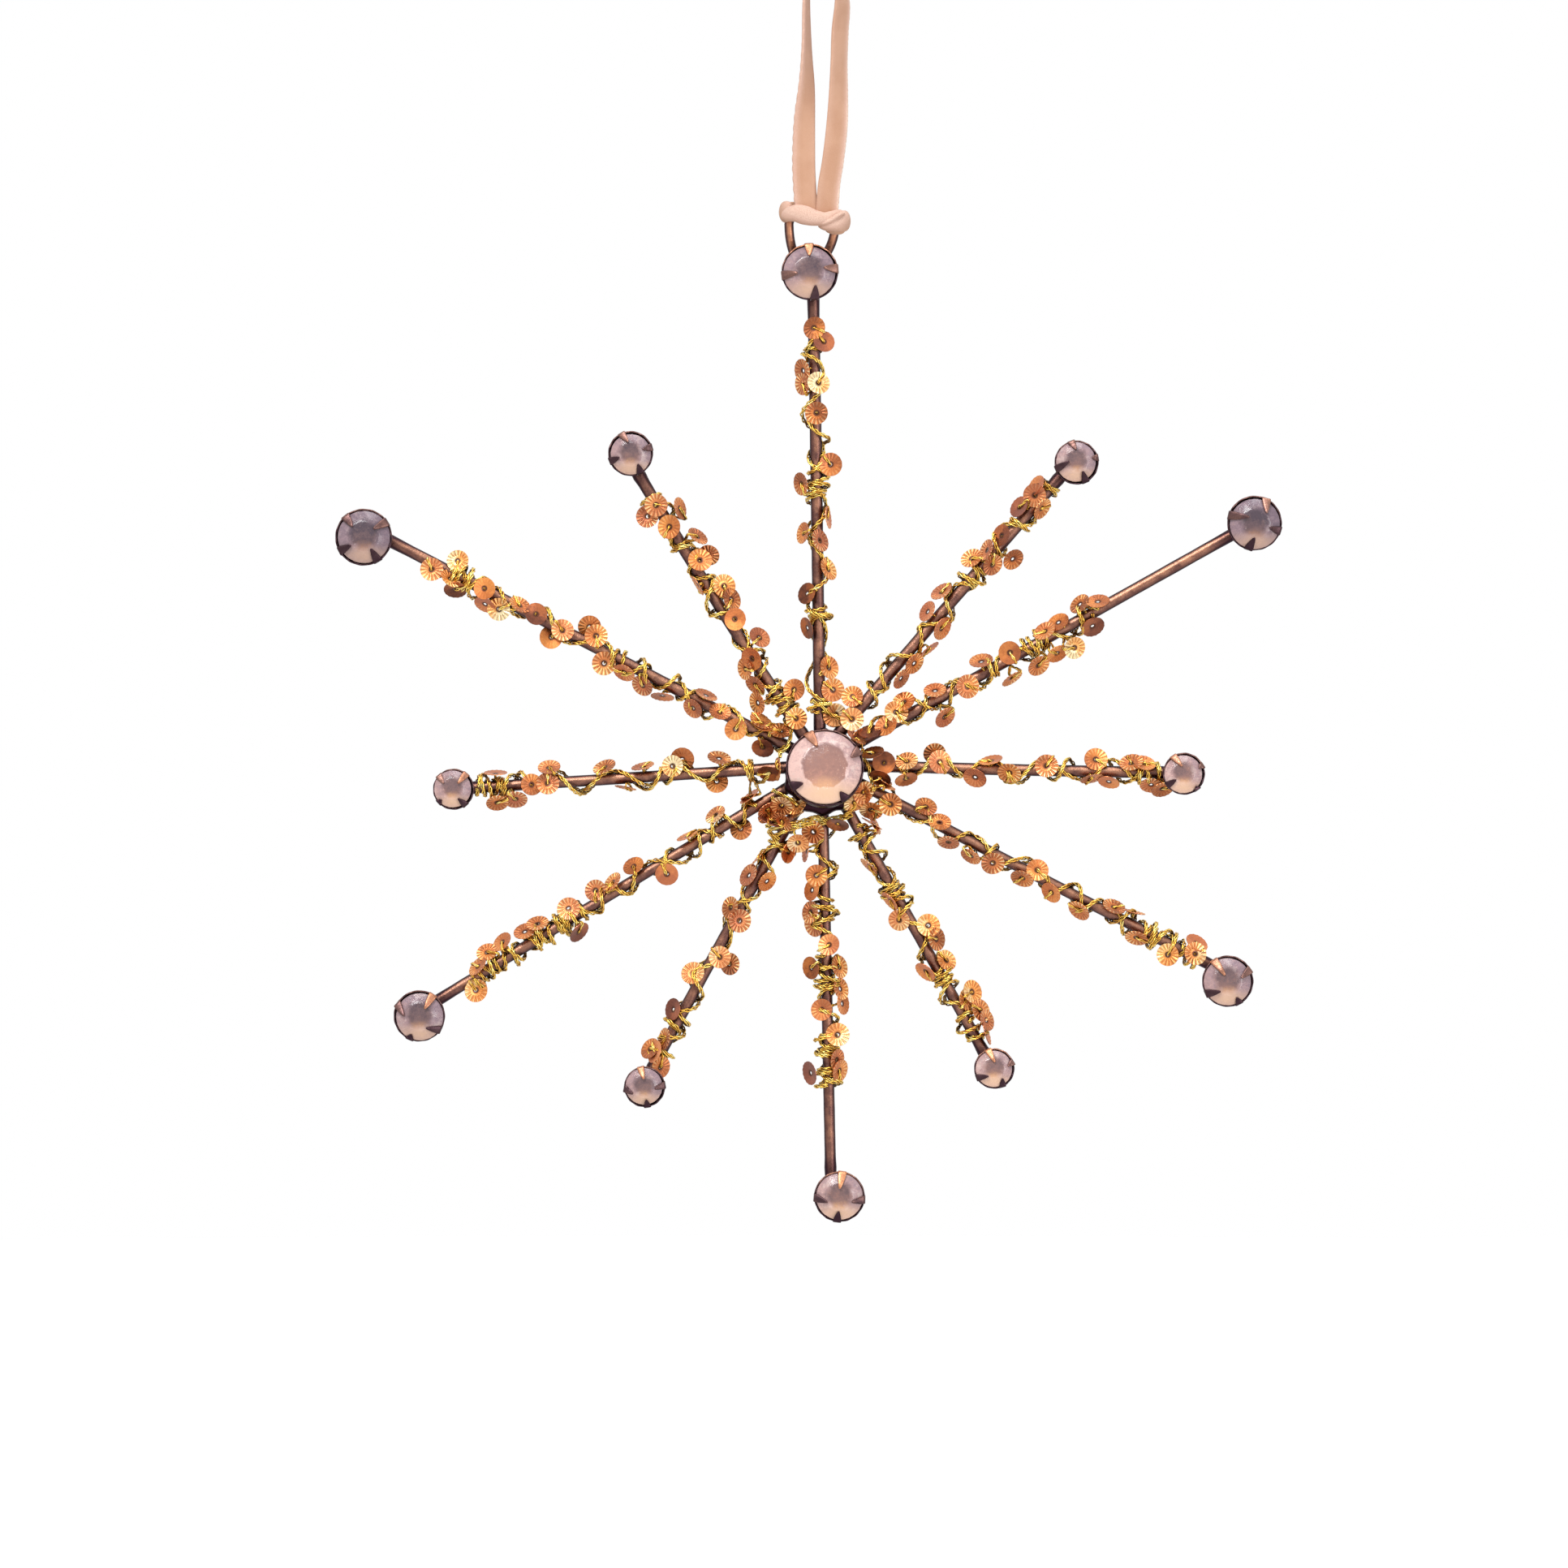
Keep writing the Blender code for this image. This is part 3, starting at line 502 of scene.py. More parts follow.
# Each ray: hour, kind and size of its setting, stone from the star's centre, rod's bow at its root, middle and tip,
# the stone's slide in its cup, the cup's tilt, how light the stone is, how bright the painted highlight makes its top
# claw and the painted light makes the rim's upper side, how light its other claws are before painted shade darkens
# those turned from the light, and its claws (each with its angle at the rim, its angle at the tip and its tip's
# distance from the stone's middle)
rayFields = "hour kind size stone bow slide tilt shade shine rim dim claws".split()
rayRows = (
    (12, "large", 1.035, (-2.0, 66.9), (0.5, 0.0, -0.4), (-0.08, -0.1), 4, 0.36, 0.8, 0.75, 0.5,
     ((358, 358, 2.1), (84, 78, 1.95), (170, 159, 2.2), (262, 258, 1.65))),
    (1, "small", 1.03, (34.0, 41.2), (1.5, 1.05, 0.4), (-0.08, 0.08), 0, 0.52, 0.2, 0.2, 0.3,
     ((345, 356, 1.74), (77, 75, 2.23), (155, 147, 1.45), (251, 278, 1.0))),
    (2, "large", 1.0, (58.0, 33.0), (0.7, 0.35, 0.15), (0.03, -0.12), -3, 0.16, 0.35, 0.2, 0.3,
     ((25, 48, 2.1), (107, 107, 2.1), (194, 182, 1.97), (287, 318, 1.14))),
    (3, "small", 0.985, (48.5, -0.8), (0.35, 0.15, 0.1), (-0.1, -0.08), 4, 0.66, 0.9, 0.2, 0.3,
     ((328, 343, 0.95), (65, 71, 2.17), (140, 137, 2.4), (235, 231, 1.44))),
    (4, "large", 0.94, (54.4, -28.8), (0.35, 0.5, 0.9), (-0.07, -0.08), 3, 0.48, 1, 0.2, 0.3,
     ((326, 329, 0.8), (62, 78, 1.8), (153, 153, 2.57), (240, 216, 1.77))),
    (5, "small", 0.945, (22.9, -40.6), (-0.1, -0.05, -0.15), (-0.06, -0.05), 5, 0.66, 1, 0.5, 0.3,
     ((341, 5, 0.76), (70, 82, 1.9), (156, 142, 1.8), (242, 215, 1.35))),
    (6, "large", 0.93, (2.0, -57.9), (-0.4, -0.75, -1.1), (0, 0.03), -4, 0.62, 1, 0.45, 0.3,
     ((7, 0, 1.23), (96, 109, 1.76), (186, 184, 1.84), (269, 250, 1.7))),
    (7, "small", 0.96, (-24.3, -43.1), (-0.5, -0.55, -0.3), (-0.09, 0.09), -6, 0.5, 0.8, 0.2, 0.3,
     ((348, 356, 1.2), (84, 94, 1.36), (172, 172, 1.7), (267, 242, 1.8))),
    (8, "large", 0.94, (-54.7, -33.5), (-0.3, -0.5, -0.5), (0.06, -0.11), -3, 0.38, 0.9, 0.2, 0.3,
     ((33, 36, 1.26), (123, 148, 1.8), (203, 203, 2.7), (300, 272, 2.0))),
    (9, "small", 0.96, (-50.1, -2.9), (-0.35, -0.15, -0.05), (-0.12, 0.03), 2, 0.55, 0.9, 0.2, 0.3,
     ((40, 40, 0.94), (142, 153, 1.5), (228, 228, 2.2), (313, 300, 1.53))),
    (10, "large", 1.04, (-62.2, 31.1), (-0.3, -0.75, -1.2), (0.05, 0.02), 0, 0.14, 0.25, 0.2, 0.3,
     ((57, 52, 1.73), (149, 147, 1.9), (240, 235, 2.0), (319, 314, 2.0))),
    (11, "small", 1.05, (-26.2, 42.4), (0.1, 0.6, 0.5), (0.03, -0.12), -4, 0.46, 0.3, 0.2, 0.3,
     ((335, 349, 1.66), (73, 71, 1.8), (153, 144, 1.78), (249, 252, 1.56))),
)
centre = dict(slide=(0, 0), tilt=10, shade=0.84, shine=0.8, rim=0.2, dim=0.3, crisp=1,
              claws=((335, 339, 2.82), (63, 71, 3.79), (147, 149, 4.1), (240, 232, 3.8)), depth=-1.91, chance=51)
rod = dict(radius=0.795, root=4.5, underSetting=2.2, steps=40, unevenness=0.015, fillet=1.16, filletLength=1.6,
           sooty=8, sootyTip=4, settingGap=0.3)


# One ray's straight axis, its bow, and the circle round its rod
class Ray:
    def __init__(self, data):
        self.data = data
        self.tag = f"{data['hour']:02d}"
        self.stone = Vector((data["stone"][0], 0, data["stone"][1]))
        self.reach = self.stone.length
        self.out = self.stone.normalized()
        self.left = Vector((-self.out.z, 0, self.out.x))
        counts = ("facets", "lobes")
        self.kind = {key: size if key in counts else size * data["size"] for key, size in kinds[data["kind"]].items()}
        self.end = self.reach - self.kind["radius"] + rod["underSetting"]
        self.random = random.Random(data["hour"])

    def axis(self, along):
        share = (along - rod["root"]) / (self.end - rod["root"])
        root, middle, tip = self.data["bow"]
        offset = root * (1 - share) * (1 - 2 * share) + middle * 4 * share * (1 - share)
        offset += tip * share * (2 * share - 1)
        flat = self.out * along + self.left * offset
        return starPoint(flat.x, flat.z)

    def along(self, point):
        return (point - starMiddle).dot(self.out)

    def around(self, along, turn, radius):
        swing = 2 * math.pi * turn
        return self.axis(along) + radius * (math.cos(swing) * front + math.sin(swing) * self.left)


def addRod(ray):
    path = []
    edge = ray.reach - ray.kind["radius"]
    for step in range(rod["steps"] + 1):
        along = rod["root"] + (ray.end - rod["root"]) * step / rod["steps"]
        share = 1 + rod["unevenness"] * ray.random.uniform(-1, 1)
        near = min(abs(along - edge), abs(along - kinds["centre"]["radius"]))  # solder builds up at both settings
        share += (rod["fillet"] - 1) * max(0, 1 - near / rod["filletLength"]) ** 2
        path.append((ray.axis(along), share))
    bm = tubeShape([path], rod["radius"] * (0.35 + 0.65 * ray.data["size"]), 6)

    # Painted shade on the flanks, and darker over the last few millimetres towards the centre and towards and under the
    # setting
    def sooty(vert):
        along = ray.along(vert.co)
        soot = 0.5 * max(0, 1 - along / rod["sooty"]) + 0.3 * max(0, 1 - (edge - along) / rod["sootyTip"])
        return min(1, turned(vert) + soot)

    bm.normal_update()
    mark(bm.verts, "side", sooty)
    mark(bm.verts, "streak", lambda vert: upperFrontHighlight(vert) * abs(ray.out.x))
    makePiece(f"rod_{ray.tag}", bm, "star", rodCopper, 40, f"ray_{ray.tag}")


def facing(spot, depth, tilt):
    # Turns a shape that opens along +Z to the front, then tips it upwards about the middle of its rim
    turn = Matrix.Rotation(math.radians(tilt), 4, "X")
    tip = Matrix.Translation((0, 0, depth)) @ turn @ Matrix.Translation((0, 0, -depth))
    return Matrix.Translation(spot) @ Matrix.Rotation(math.radians(90), 4, "X") @ tip.inverted()


def growRing(bm, ring, change):
    verts, edges = newParts(bmesh.ops.extrude_edge_only(bm, edges=ring)["geom"])
    for vert in verts:
        vert.co = change(vert.co)
    return edges


def cupShape(bm, kind):
    # The cup's wall as a sheet, from its floor to a scalloped rim
    radius, depth, lobes = kind["radius"], kind["depth"], kind["lobes"]
    floor = radius - settingWall["flare"]
    bmesh.ops.create_circle(bm, cap_ends=True, segments=lobes * 4, radius=floor - 0.25)

    def out(co, reach, height):
        return Vector((co.x, co.y, 0)).normalized() * reach + Vector((0, 0, height))

    def rim(co):
        wave = math.cos(lobes * math.atan2(co.y, co.x))
        return out(co, radius + settingWall["toothLean"] * wave, depth + settingWall["toothHeight"] * wave)

    ring = bm.edges[:]
    for wall, height in (
        (floor - 0.05, 0.08), (floor + 0.02, 0.3), (floor + 0.15, depth * 0.55), (radius - 0.02, depth - 0.25),
    ):
        ring = growRing(bm, ring, lambda co: out(co, wall, height))
    growRing(bm, ring, rim)


def crownHeight(kind, reach):
    share = (kind["stone"] - reach) / (kind["stone"] - kind["table"])
    return kind["depth"] + kind["crown"] * min(1, max(0, share))


def clawShape(bm, kind, foot, end, reach):
    # One claw: it leaves the wall's outside, bends over the rim and lies on the stone
    radius, depth, wide, tip = kind["radius"], kind["depth"], kind["claw"], settingWall["clawTip"]

    def inPlan(angle, distance):
        return Vector((math.sin(math.radians(angle)), math.cos(math.radians(angle)), 0)) * distance

    root, point = inPlan(foot, radius), inPlan(end, reach)
    out, ahead = root.normalized(), (point - root).normalized()
    stations = [
        (root + out * -0.02, depth - 1.0, wide), (root + out * 0.08, depth - 0.15, wide),
        (root + out * 0.02, depth + 0.38, wide * 0.97),
    ]
    for share in (0.14, 0.36, 0.6, 0.84, 1.0):
        spot = root.lerp(point, share)
        lift = settingWall["clawLift"] + 0.25 * max(0, 1 - share * 2)
        width = wide * (1 - 0.88 * share**1.5) + tip * share * 0.4
        stations.append((spot, crownHeight(kind, spot.length) + lift, width))
    rows = []
    count = settingWall["clawColumns"]
    for index, (spot, height, width) in enumerate(stations):
        alongRim = Vector((-out.y, out.x, 0)) * -1
        across = Vector((-ahead.y, ahead.x, 0)).lerp(alongRim, max(0, 1 - index / 3)).normalized()
        rows.append([
            spot + across * width / 2 * side + Vector((0, 0, height + 0.07 * (1 - side * side)))
            for side in (2 * step / count - 1 for step in range(count + 1))
        ])
    loft(bm, rows)


def addSetting(name, kind, data, spot):
    bm = bmesh.new()
    claw = bm.faces.layers.float.new("claw")
    cupShape(bm, kind)
    faceOut(bm)
    if min(bm.faces, key=lambda face: face.calc_center_median().z).normal.z > 0:
        bmesh.ops.reverse_faces(bm, faces=bm.faces[:])
    # Painted light: the rim's upper side is painted lighter and its lower side darker
    for face in bm.faces:
        middle = face.calc_center_median()
        if middle.z > kind["depth"] - settingWall["upperRim"]:
            face[claw] = 0.2 + data["rim"] * middle.normalized().y
    for foot, end, reach in data["claws"]:
        before = set(bm.faces)
        clawShape(bm, kind, foot, end, reach)
        fresh = [face for face in bm.faces if face not in before]
        faceOut(bm, fresh)
        if max(fresh, key=lambda face: face.calc_center_median().z).normal.z < 0:
            bmesh.ops.reverse_faces(bm, faces=fresh)
        # Painted light and shade: claws towards the light are painted bright, claws away from it darker
        dim, lit = data["dim"], math.cos(math.radians(foot - 5))  # the light comes from a little right of the top
        bright = data["shine"] * (1 - dim) * lit**2.5 if lit > 0 else 0.3 * lit
        for face in fresh:
            face[claw] = dim + bright
    bmesh.ops.transform(bm, matrix=facing(spot, kind["depth"], data["tilt"]), verts=bm.verts)
    piece = makePiece(name.replace("setting", "cup"), bm, "star", settingCopper, 60, name)
    thicken(piece, settingWall["thickness"], -1)


def addStone(name, kind, data, spot, chance):
    radius, girdle, pavilion, count = kind["stone"], kind["depth"], kind["pavilion"], kind["facets"]
    below = -stoneCut["girdle"]
    rings = (
        (count, kind["table"], kind["crown"], 0), (count * 2, radius, 0.1, 0), (count * 2, radius, below, 0),
        (count, radius * 0.55, below - pavilion * 0.5, 0.5), (count, radius * stoneCut["culet"], below - pavilion, 0),
    )
    bm = bmesh.new()
    for corners, ringRadius, height, turn in rings:
        made = bmesh.ops.create_circle(bm, segments=corners, radius=ringRadius)["verts"]
        bmesh.ops.rotate(bm, verts=made, matrix=Matrix.Rotation(2 * math.pi * turn / corners, 3, "Z"))
        bmesh.ops.translate(bm, verts=made, vec=(0, 0, girdle + height))
    bmesh.ops.convex_hull(bm, input=bm.verts)
    bmesh.ops.delete(bm, geom=[edge for edge in bm.edges if not edge.link_faces], context="EDGES")
    bmesh.ops.dissolve_limit(bm, angle_limit=math.radians(1), verts=bm.verts, edges=bm.edges)
    bevel = radius * stoneCut["bevel"]
    bmesh.ops.bevel(bm, geom=bm.edges, offset=bevel, segments=2, affect="EDGES", profile=0.5, material=-1)
    faceOut(bm)
    bmesh.ops.rotate(bm, verts=bm.verts, matrix=Matrix.Rotation(chance.uniform(0, 1), 3, "Z"))
    mark(bm.faces, "facet", lambda face: chance.random())
    mark(bm.verts, "shade", lambda vert: data["shade"])
    mark(bm.verts, "crisp", lambda vert: data.get("crisp", 0))
    gem = bm.verts.layers.float_vector.new("gem")
    for vert in bm.verts:
        vert[gem] = (vert.co.x / radius, vert.co.y / radius, (vert.co.z - girdle) / radius)
    bmesh.ops.translate(bm, verts=bm.verts, vec=Vector((*data["slide"], 0)))
    bmesh.ops.transform(bm, matrix=facing(spot, kind["depth"], data["tilt"]), verts=bm.verts)
    makePiece(name.replace("stone", "gem"), bm, "star", opalGlass, 14, name)


# Solder that holds the rods together behind the centre setting, dark and lumpy, and fuller at the bottom
solder = dict(steps=96, sides=10, depth=-0.95, reach=5.15, fuller=1.25, fullerTurn=0.1, width=1.1, height=0.75,
              lump=0.22, smallLump=0.12, shade=0.95)


def addSolder():
    rows = []
    for step in range(solder["steps"]):
        swing = 2 * math.pi * step / solder["steps"]
        out = Vector((math.sin(swing), 0, math.cos(swing)))
        lump = solder["lump"] * math.cos(12 * swing) + solder["smallLump"] * math.cos(7 * swing + 1)
        reach = solder["reach"] + solder["fuller"] * max(0, -math.cos(swing - solder["fullerTurn"])) + lump
        row = []
        for part in range(solder["sides"]):
            turn = 2 * math.pi * part / solder["sides"]
            away = out * (reach - solder["width"] + solder["width"] * math.cos(turn))
            row.append(starPoint(0, 0, solder["depth"]) + away + front * solder["height"] * math.sin(turn))
        rows.append(row)
    bm = bmesh.new()
    loft(bm, [*rows, rows[0]], closed=True)
    bmesh.ops.remove_doubles(bm, verts=bm.verts, dist=0.001)
    faceOut(bm)
    mark(bm.verts, "side", lambda vert: solder["shade"])
    makePiece("hub_solder", bm, "star", rodCopper, 180)


starRays = [Ray(dict(zip(rayFields, row))) for row in rayRows]
for ray in starRays:
    addRod(ray)
    spot = starPoint(ray.stone.x, ray.stone.z, -rod["radius"] - rod["settingGap"])
    addSetting(f"tip_setting_{ray.tag}", ray.kind, ray.data, spot)
    addStone(f"tip_stone_{ray.tag}", ray.kind, ray.data, spot, ray.random)
centreSpot = starPoint(0, 0, centre["depth"])
addSetting("centre_setting", kinds["centre"], centre, centreSpot)
addStone("centre_stone", kinds["centre"], centre, centreSpot, random.Random(centre["chance"]))
addSolder()
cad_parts["hub_plate"].material_slots[0].material = rodCopper
print("rods, settings and stones made")


# Thread: crossings over the rod's front, in mm from the star's centre. x: both ways cross there,
# a: it runs from left to right looking outward, b: right to left, d: wound close there
crossings = {
    12: "8d 12.5 20dx 24.5a 29.5 33 37dx 40.5x 45.5 50 55.5d 58",
    1: "7 12x 14 18.5a 22b 24.2 27.5 31d 33.5d 36.5a 37.7b 41.5d 46 48d",
    2: "7 12 16x 20 22 26d 31d 33.5d 36 40d 43",
    3: "7 10 13.5 17.5 20b 24.5a 27.5b 32x 37 41 42.5d 44.2d 45.6d",
    4: "7 10.5 16x 20.5 25x 28 34a 36b 39a 40.5b 45x 49.5dx 53d 55d",
    5: "9 10.5d 13b 18.5dx 22a 24 27.5a 32dx 36.5 38.5d 41d",
    6: "7 9.5 12.5 15 18.5d 20.5x 22 26d 29dx 33 36d 38d 40.5d 42.5d",
    7: "9 11d 12 15 21x 25 31 34b 38a 39.5d 42 44d 46",
    8: "8 10.5 12.5 14.5a 17.5x 19.5 25x 30b 32.5 35 38d 41dx 44dx 49x 51d 53.5d 55.5",
    9: "7 9.5d 14.5b 18a 20.5 22.5b 26a 31b 35a 38 40 42.5d 44 46d 47",
    10: "6 8.5 10 12.5 16 21x 24 27.5 28.5 31.5d 36.5 41.5 46.5 49 54dx 56d 60",
    11: "7 9d 11d 12.5 15.5 19x 25 28.5x 30.5 33 35d 38 42.5d",
}
thread = dict(radius=0.122, winding=1.05, strands=3, spread=0.17, swell=0.35, flat=0.7, lay=3.0, step=0.17,
              wander=0.75, slack=0.6, crinkle=0.03, closeTurns=3, closePitch=0.6, muddle=0.8, halfSteps=12)
# short is the share of stitches that don't go over the sequin's edge
stitches = dict(strands=2, spread=0.1, turn=1.2, slip=0.6, short=0.35, over=0.55, overLift=0.24, edge=1.06,
                edgeLift=0.18)


def splitCrossings(text, chance):
    # The front crossings of the thread's way out and of its way back
    out, back = [], []
    for token in text.split():
        marks = token.lstrip("0123456789.")
        along = float(token.rstrip("abdx"))
        if "x" in marks:
            chosen = (out, back)
        elif "a" in marks:
            chosen = (back,)
        elif "b" in marks:
            chosen = (out,)
        else:
            chosen = (out,) if (out or [0])[-1] <= (back or [1])[-1] else (back,)
        for way in chosen:
            if "d" in marks:
                for step in range(thread["closeTurns"]):
                    way.append(along + thread["closePitch"] * step + thread["muddle"] * chance.uniform(-1, 1))
            else:
                way.append(along)
    return out, back


def windingLine(ray, stops, hand):
    # One way of the thread round its rod, with a front crossing at each stop and slack ones at the back
    halves = [stops[0]]
    for a, b in zip(stops, stops[1:]):
        halves += [(a + b) / 2 + thread["slack"] * ray.random.uniform(-1, 1), b]
    knots = through([Vector((along, 0, 0)) for along in halves], thread["halfSteps"])
    phase = ray.random.uniform(0, 6)
    line = []
    for step, knot in enumerate(knots):
        turn = step / thread["halfSteps"] / 2
        loose = (0.5 + 0.5 * math.sin(4.4 * turn + phase)) ** 3
        line.append(ray.around(knot.x, hand * turn, thread["winding"] + thread["wander"] * loose))
    return line


def strandPaths(line, chance, strands=thread["strands"], spread=thread["spread"]):
    # The fine strands of one thread along a line, loosely twisted together
    line = resample(line, thread["step"])
    phase = chance.uniform(0, 6)
    lay = thread["lay"] * chance.uniform(0.85, 1.2)
    paths = []
    for strand in range(strands):
        path = []
        for index, point in enumerate(line):
            ahead = (line[min(index + 1, len(line) - 1)] - line[max(index - 1, 0)]).normalized()
            side = ahead.cross(front)
            side = side.normalized() if side.length > 0.2 else ahead.cross(Vector((0, 0, 1))).normalized()
            lift = ahead.cross(side)
            swing = 2 * math.pi * (index * thread["step"] / lay + strand / strands) + phase
            wide = spread * (1 + thread["swell"] * math.sin(index * 0.31 + 2.1 * strand + phase))
            crinkle = thread["crinkle"] * math.sin(index * 1.3 + 1.7 * strand + phase)
            offset = wide * (math.cos(swing) * side + thread["flat"] * math.sin(swing) * lift)
            path.append((point + offset + crinkle * side, 1))
        paths.append(path)
    return paths


def normalOf(spot):
    return (spot.to_3x3() @ Vector((0, 0, 1))).normalized()


def stitch(ray, spot):
    # The thread's short way up through a sequin's hole, over its edge and back to the rod
    middle, normal = spot.translation, normalOf(spot)
    along = ray.along(middle)
    inward = ray.axis(along) - middle
    inward -= normal * inward.dot(normal)
    if inward.length < 0.3:
        inward = ray.out - normal * ray.out.dot(normal)
    turn = ray.random.uniform(-stitches["turn"], stitches["turn"])
    way = Matrix.Rotation(turn, 3, normal) @ inward.normalized()
    over = middle + way * sequin["radius"] * stitches["over"] + normal * stitches["overLift"]
    edge = middle + way * sequin["radius"] * stitches["edge"] + normal * stitches["edgeLift"]
    land = ray.axis(along + ray.random.uniform(-stitches["slip"], stitches["slip"]))
    land = land + (edge - land).normalized() * thread["winding"]
    rising = [land, middle - normal * 0.5 + (land - middle) * 0.15, middle - normal * 0.1]
    if ray.random.random() < stitches["short"]:
        return through(rising, 4)
    return through([*rising, middle + normal * 0.15, over, edge, land], 6)


def addThread(ray, spots):
    paths = []
    for hand, stops in zip((1, -1), splitCrossings(crossings[ray.data["hour"]], ray.random)):
        paths += strandPaths(windingLine(ray, stops, hand), ray.random)
    for spot in spots:
        paths += strandPaths(stitch(ray, spot), ray.random, stitches["strands"], stitches["spread"])
    bm = tubeShape(paths, thread["radius"], 0)
    markShade(bm, lambda co: (co - ray.axis(ray.along(co)) + front * 0.4).normalized())
    makePiece(f"thread_{ray.tag}", bm, "star", goldThread, 180, f"sequin_garland_{ray.tag}")


# Sequins: along the ray and across it in mm, then how each lies (f flat to the front, o oblique,
# e on edge, b behind the rod) and its tone (l light, d dark, g gold, p pink, w white as a painted glint, m darker
# brown)
sequins = {
    12: "10.5,-1.4,f 7,-1.5,fl 13.5,-.9,o 19,1.7,od 23.6,1.6,od 26.8,-1.2,og 31.8,1.8,o 30.7,-.2,o 33.8,-1.3,e "
        "38.5,1.9,o 41,-2,f 48,-.3,f 52,-.7,fw 52,1.3,o 53.8,1.2,o 57.6,-1.6,fd 59.5,-.3,fm",
    1: "6.5,3.4,fl 7.4,1.3,fl 9.8,3.2,f 5.9,-.8,o 15.9,-.2,o 18.6,-.3,o 21.5,-.5,e 24.6,-.1,o 25.2,2.6,o 28.4,2.8,o "
       "34.5,2.6,o 36.7,1.7,o 38,-1.6,o 35.6,0,o 39.5,1.5,od 46.5,1.5,f 47.7,2,o 44,2,od 45.7,-.2,o",
    2: "7.7,1.1,od 10,.7,o 12.1,1.7,fg 13.7,2.4,o 17.5,-2,o 18.1,1.6,o 22.2,0,f 25.5,1.9,o 28,-1.9,e 29.5,1.1,f "
       "32,-2.2,o 35,1.2,o 37.2,1.4,o 35,-2,o 37.4,-2.6,fw 41,2.1,o 43.2,1.2,o 41,-1.2,od",
    3: "8,.8,fd 11.1,1,ol 11,-1.2,o 14.9,2.1,b 15.5,1,f 20.4,-.9,o 22.5,1.2,e 25,-.2,o 30,.7,f 36.7,1.7,f "
       "36.1,-.7,e 38.5,-1.2,o 41.5,1.2,o 43.2,1.2,o 44.2,-1.5,o 45.7,-2,o",
    4: "6,-.6,o 7.5,2.2,e 10.2,-.2,f 8.2,-2,og 9.2,-3.5,e 14.6,1.7,o 17.2,.7,o 19.5,-1,o 23.1,-1.2,o 26.1,-.7,f "
       "31.9,1.2,f 30.6,-.6,o 35,-.5,o 39.5,-.8,o 43.4,1.5,o 46.2,2.1,e 48,-.5,o 52.9,-.6,fl 55.6,2.5,o 56,1.2,fg",
    5: "5.2,3,o 10,2,e 14.5,-1.2,e 20,-1,e 22.9,-1.3,fl 25.5,1.7,fl 27.6,1.7,o 30.8,1.5,ol 30.7,-1.5,o 36.2,2.4,ol "
       "36.7,1.2,og 39,2.2,ol 40.5,2.2,o 42,1.2,e",
    6: "8.6,-1.8,f 5.2,-4,ol 11.2,-2.7,e 11.2,-5.2,o 14.5,-1.6,f 16.5,-2.2,o 19.5,-2.5,o 21.2,-2.1,o 24,-.2,f "
       "27,1,o 27,-2.7,o 30,1,o 32,1.2,o 32.7,-1.5,f 36.2,.5,fl 39.5,.2,o 41,.5,o 41.2,-3.2,od",
    7: "6.2,-.7,ol 9.2,-3.5,o 12.2,1.2,o 15,-1.7,e 17.2,.7,o 17.7,-1.7,o 22.7,-1.7,o 23.7,.1,f 29.3,.2,fl "
       "29.5,1.8,b 33,-1.8,fl 38.5,-1.7,od 42.5,-.7,o 44.7,-1,o 44.7,-1.8,o 46.2,.5,o",
    8: "6.2,2.5,o 9.5,.7,o 14,1.1,b 10.7,-1.8,e 15.9,-2.2,og 20.7,-1.7,e 25.7,1.1,f 29,-2.1,o 32.5,-1.7,o "
       "35.1,-2,f 39.5,-1.8,fl 40,1.5,od 44.2,-2.2,o 46.2,-2.2,o 49.5,-2.6,o 52,-2.5,o 54,-1.5,o 56,1,fl",
    9: "7.5,.2,od 10.2,3.1,e 14.7,1,b 14.2,-2,o 20.5,-1.4,fw 19.2,-2.2,b 24.5,-1.4,e 27,1,e 29.7,-1.7,o "
       "37.5,0,f 39.7,0,f 37.2,-2.1,o 42,1.7,o 44.5,2.1,o 44.5,-1.7,e",
    10: "8.7,1.2,od 7.5,-1.7,o 10.2,-1.5,o 10.6,-1.6,o 13.1,.7,f 16,-.3,o 18.7,-1.5,e 19.5,.7,o 24,1,e 27,1,o "
        "30,.5,o 33,.7,fp 35.6,-2.1,fl 37,-2.8,b 40,-.7,fl 41,.7,b 44.2,-1.1,fd 46.7,-1.1,o 49,.5,fw 52,-1.1,f "
        "51,.7,o 55.5,.7,od 56.7,-.1,ol 59.5,-.2,fl 56.9,-2.8,fg",
    11: "7.7,-.2,fp 12.2,3,o 14.5,2,o 11.2,-2,f 17,2,o 17.7,.5,o 19.6,-1.7,o 23.5,-.2,f 26,-1.2,o 28.1,-1.3,fl "
        "30,1.5,e 32.7,-.4,f 32.7,-1.7,b 35.6,-1.7,o 38.7,.7,f 41.5,2.5,f 42.2,.7,fl 40.2,-1.7,o",
}
tones = dict(c=0.49, l=0.68, d=0.15, g=0.78, p=0.6, w=0.91, m=0.3)
flattened = dict(d=1, g=0, w=0, l=0.2)  # how far a tone's flutes are pressed flat, where it isn't left to chance
turnOut = dict(f=14, o=50, e=78, b=20)  # degrees from facing the front
scatter = dict(size=(0.94, 1.04), dish=(0.7, 1.3), tone=0.12, tip=10, lean=20, brightWithin=22, bright=0.1,
               standOff=0.75, heave=0.15)


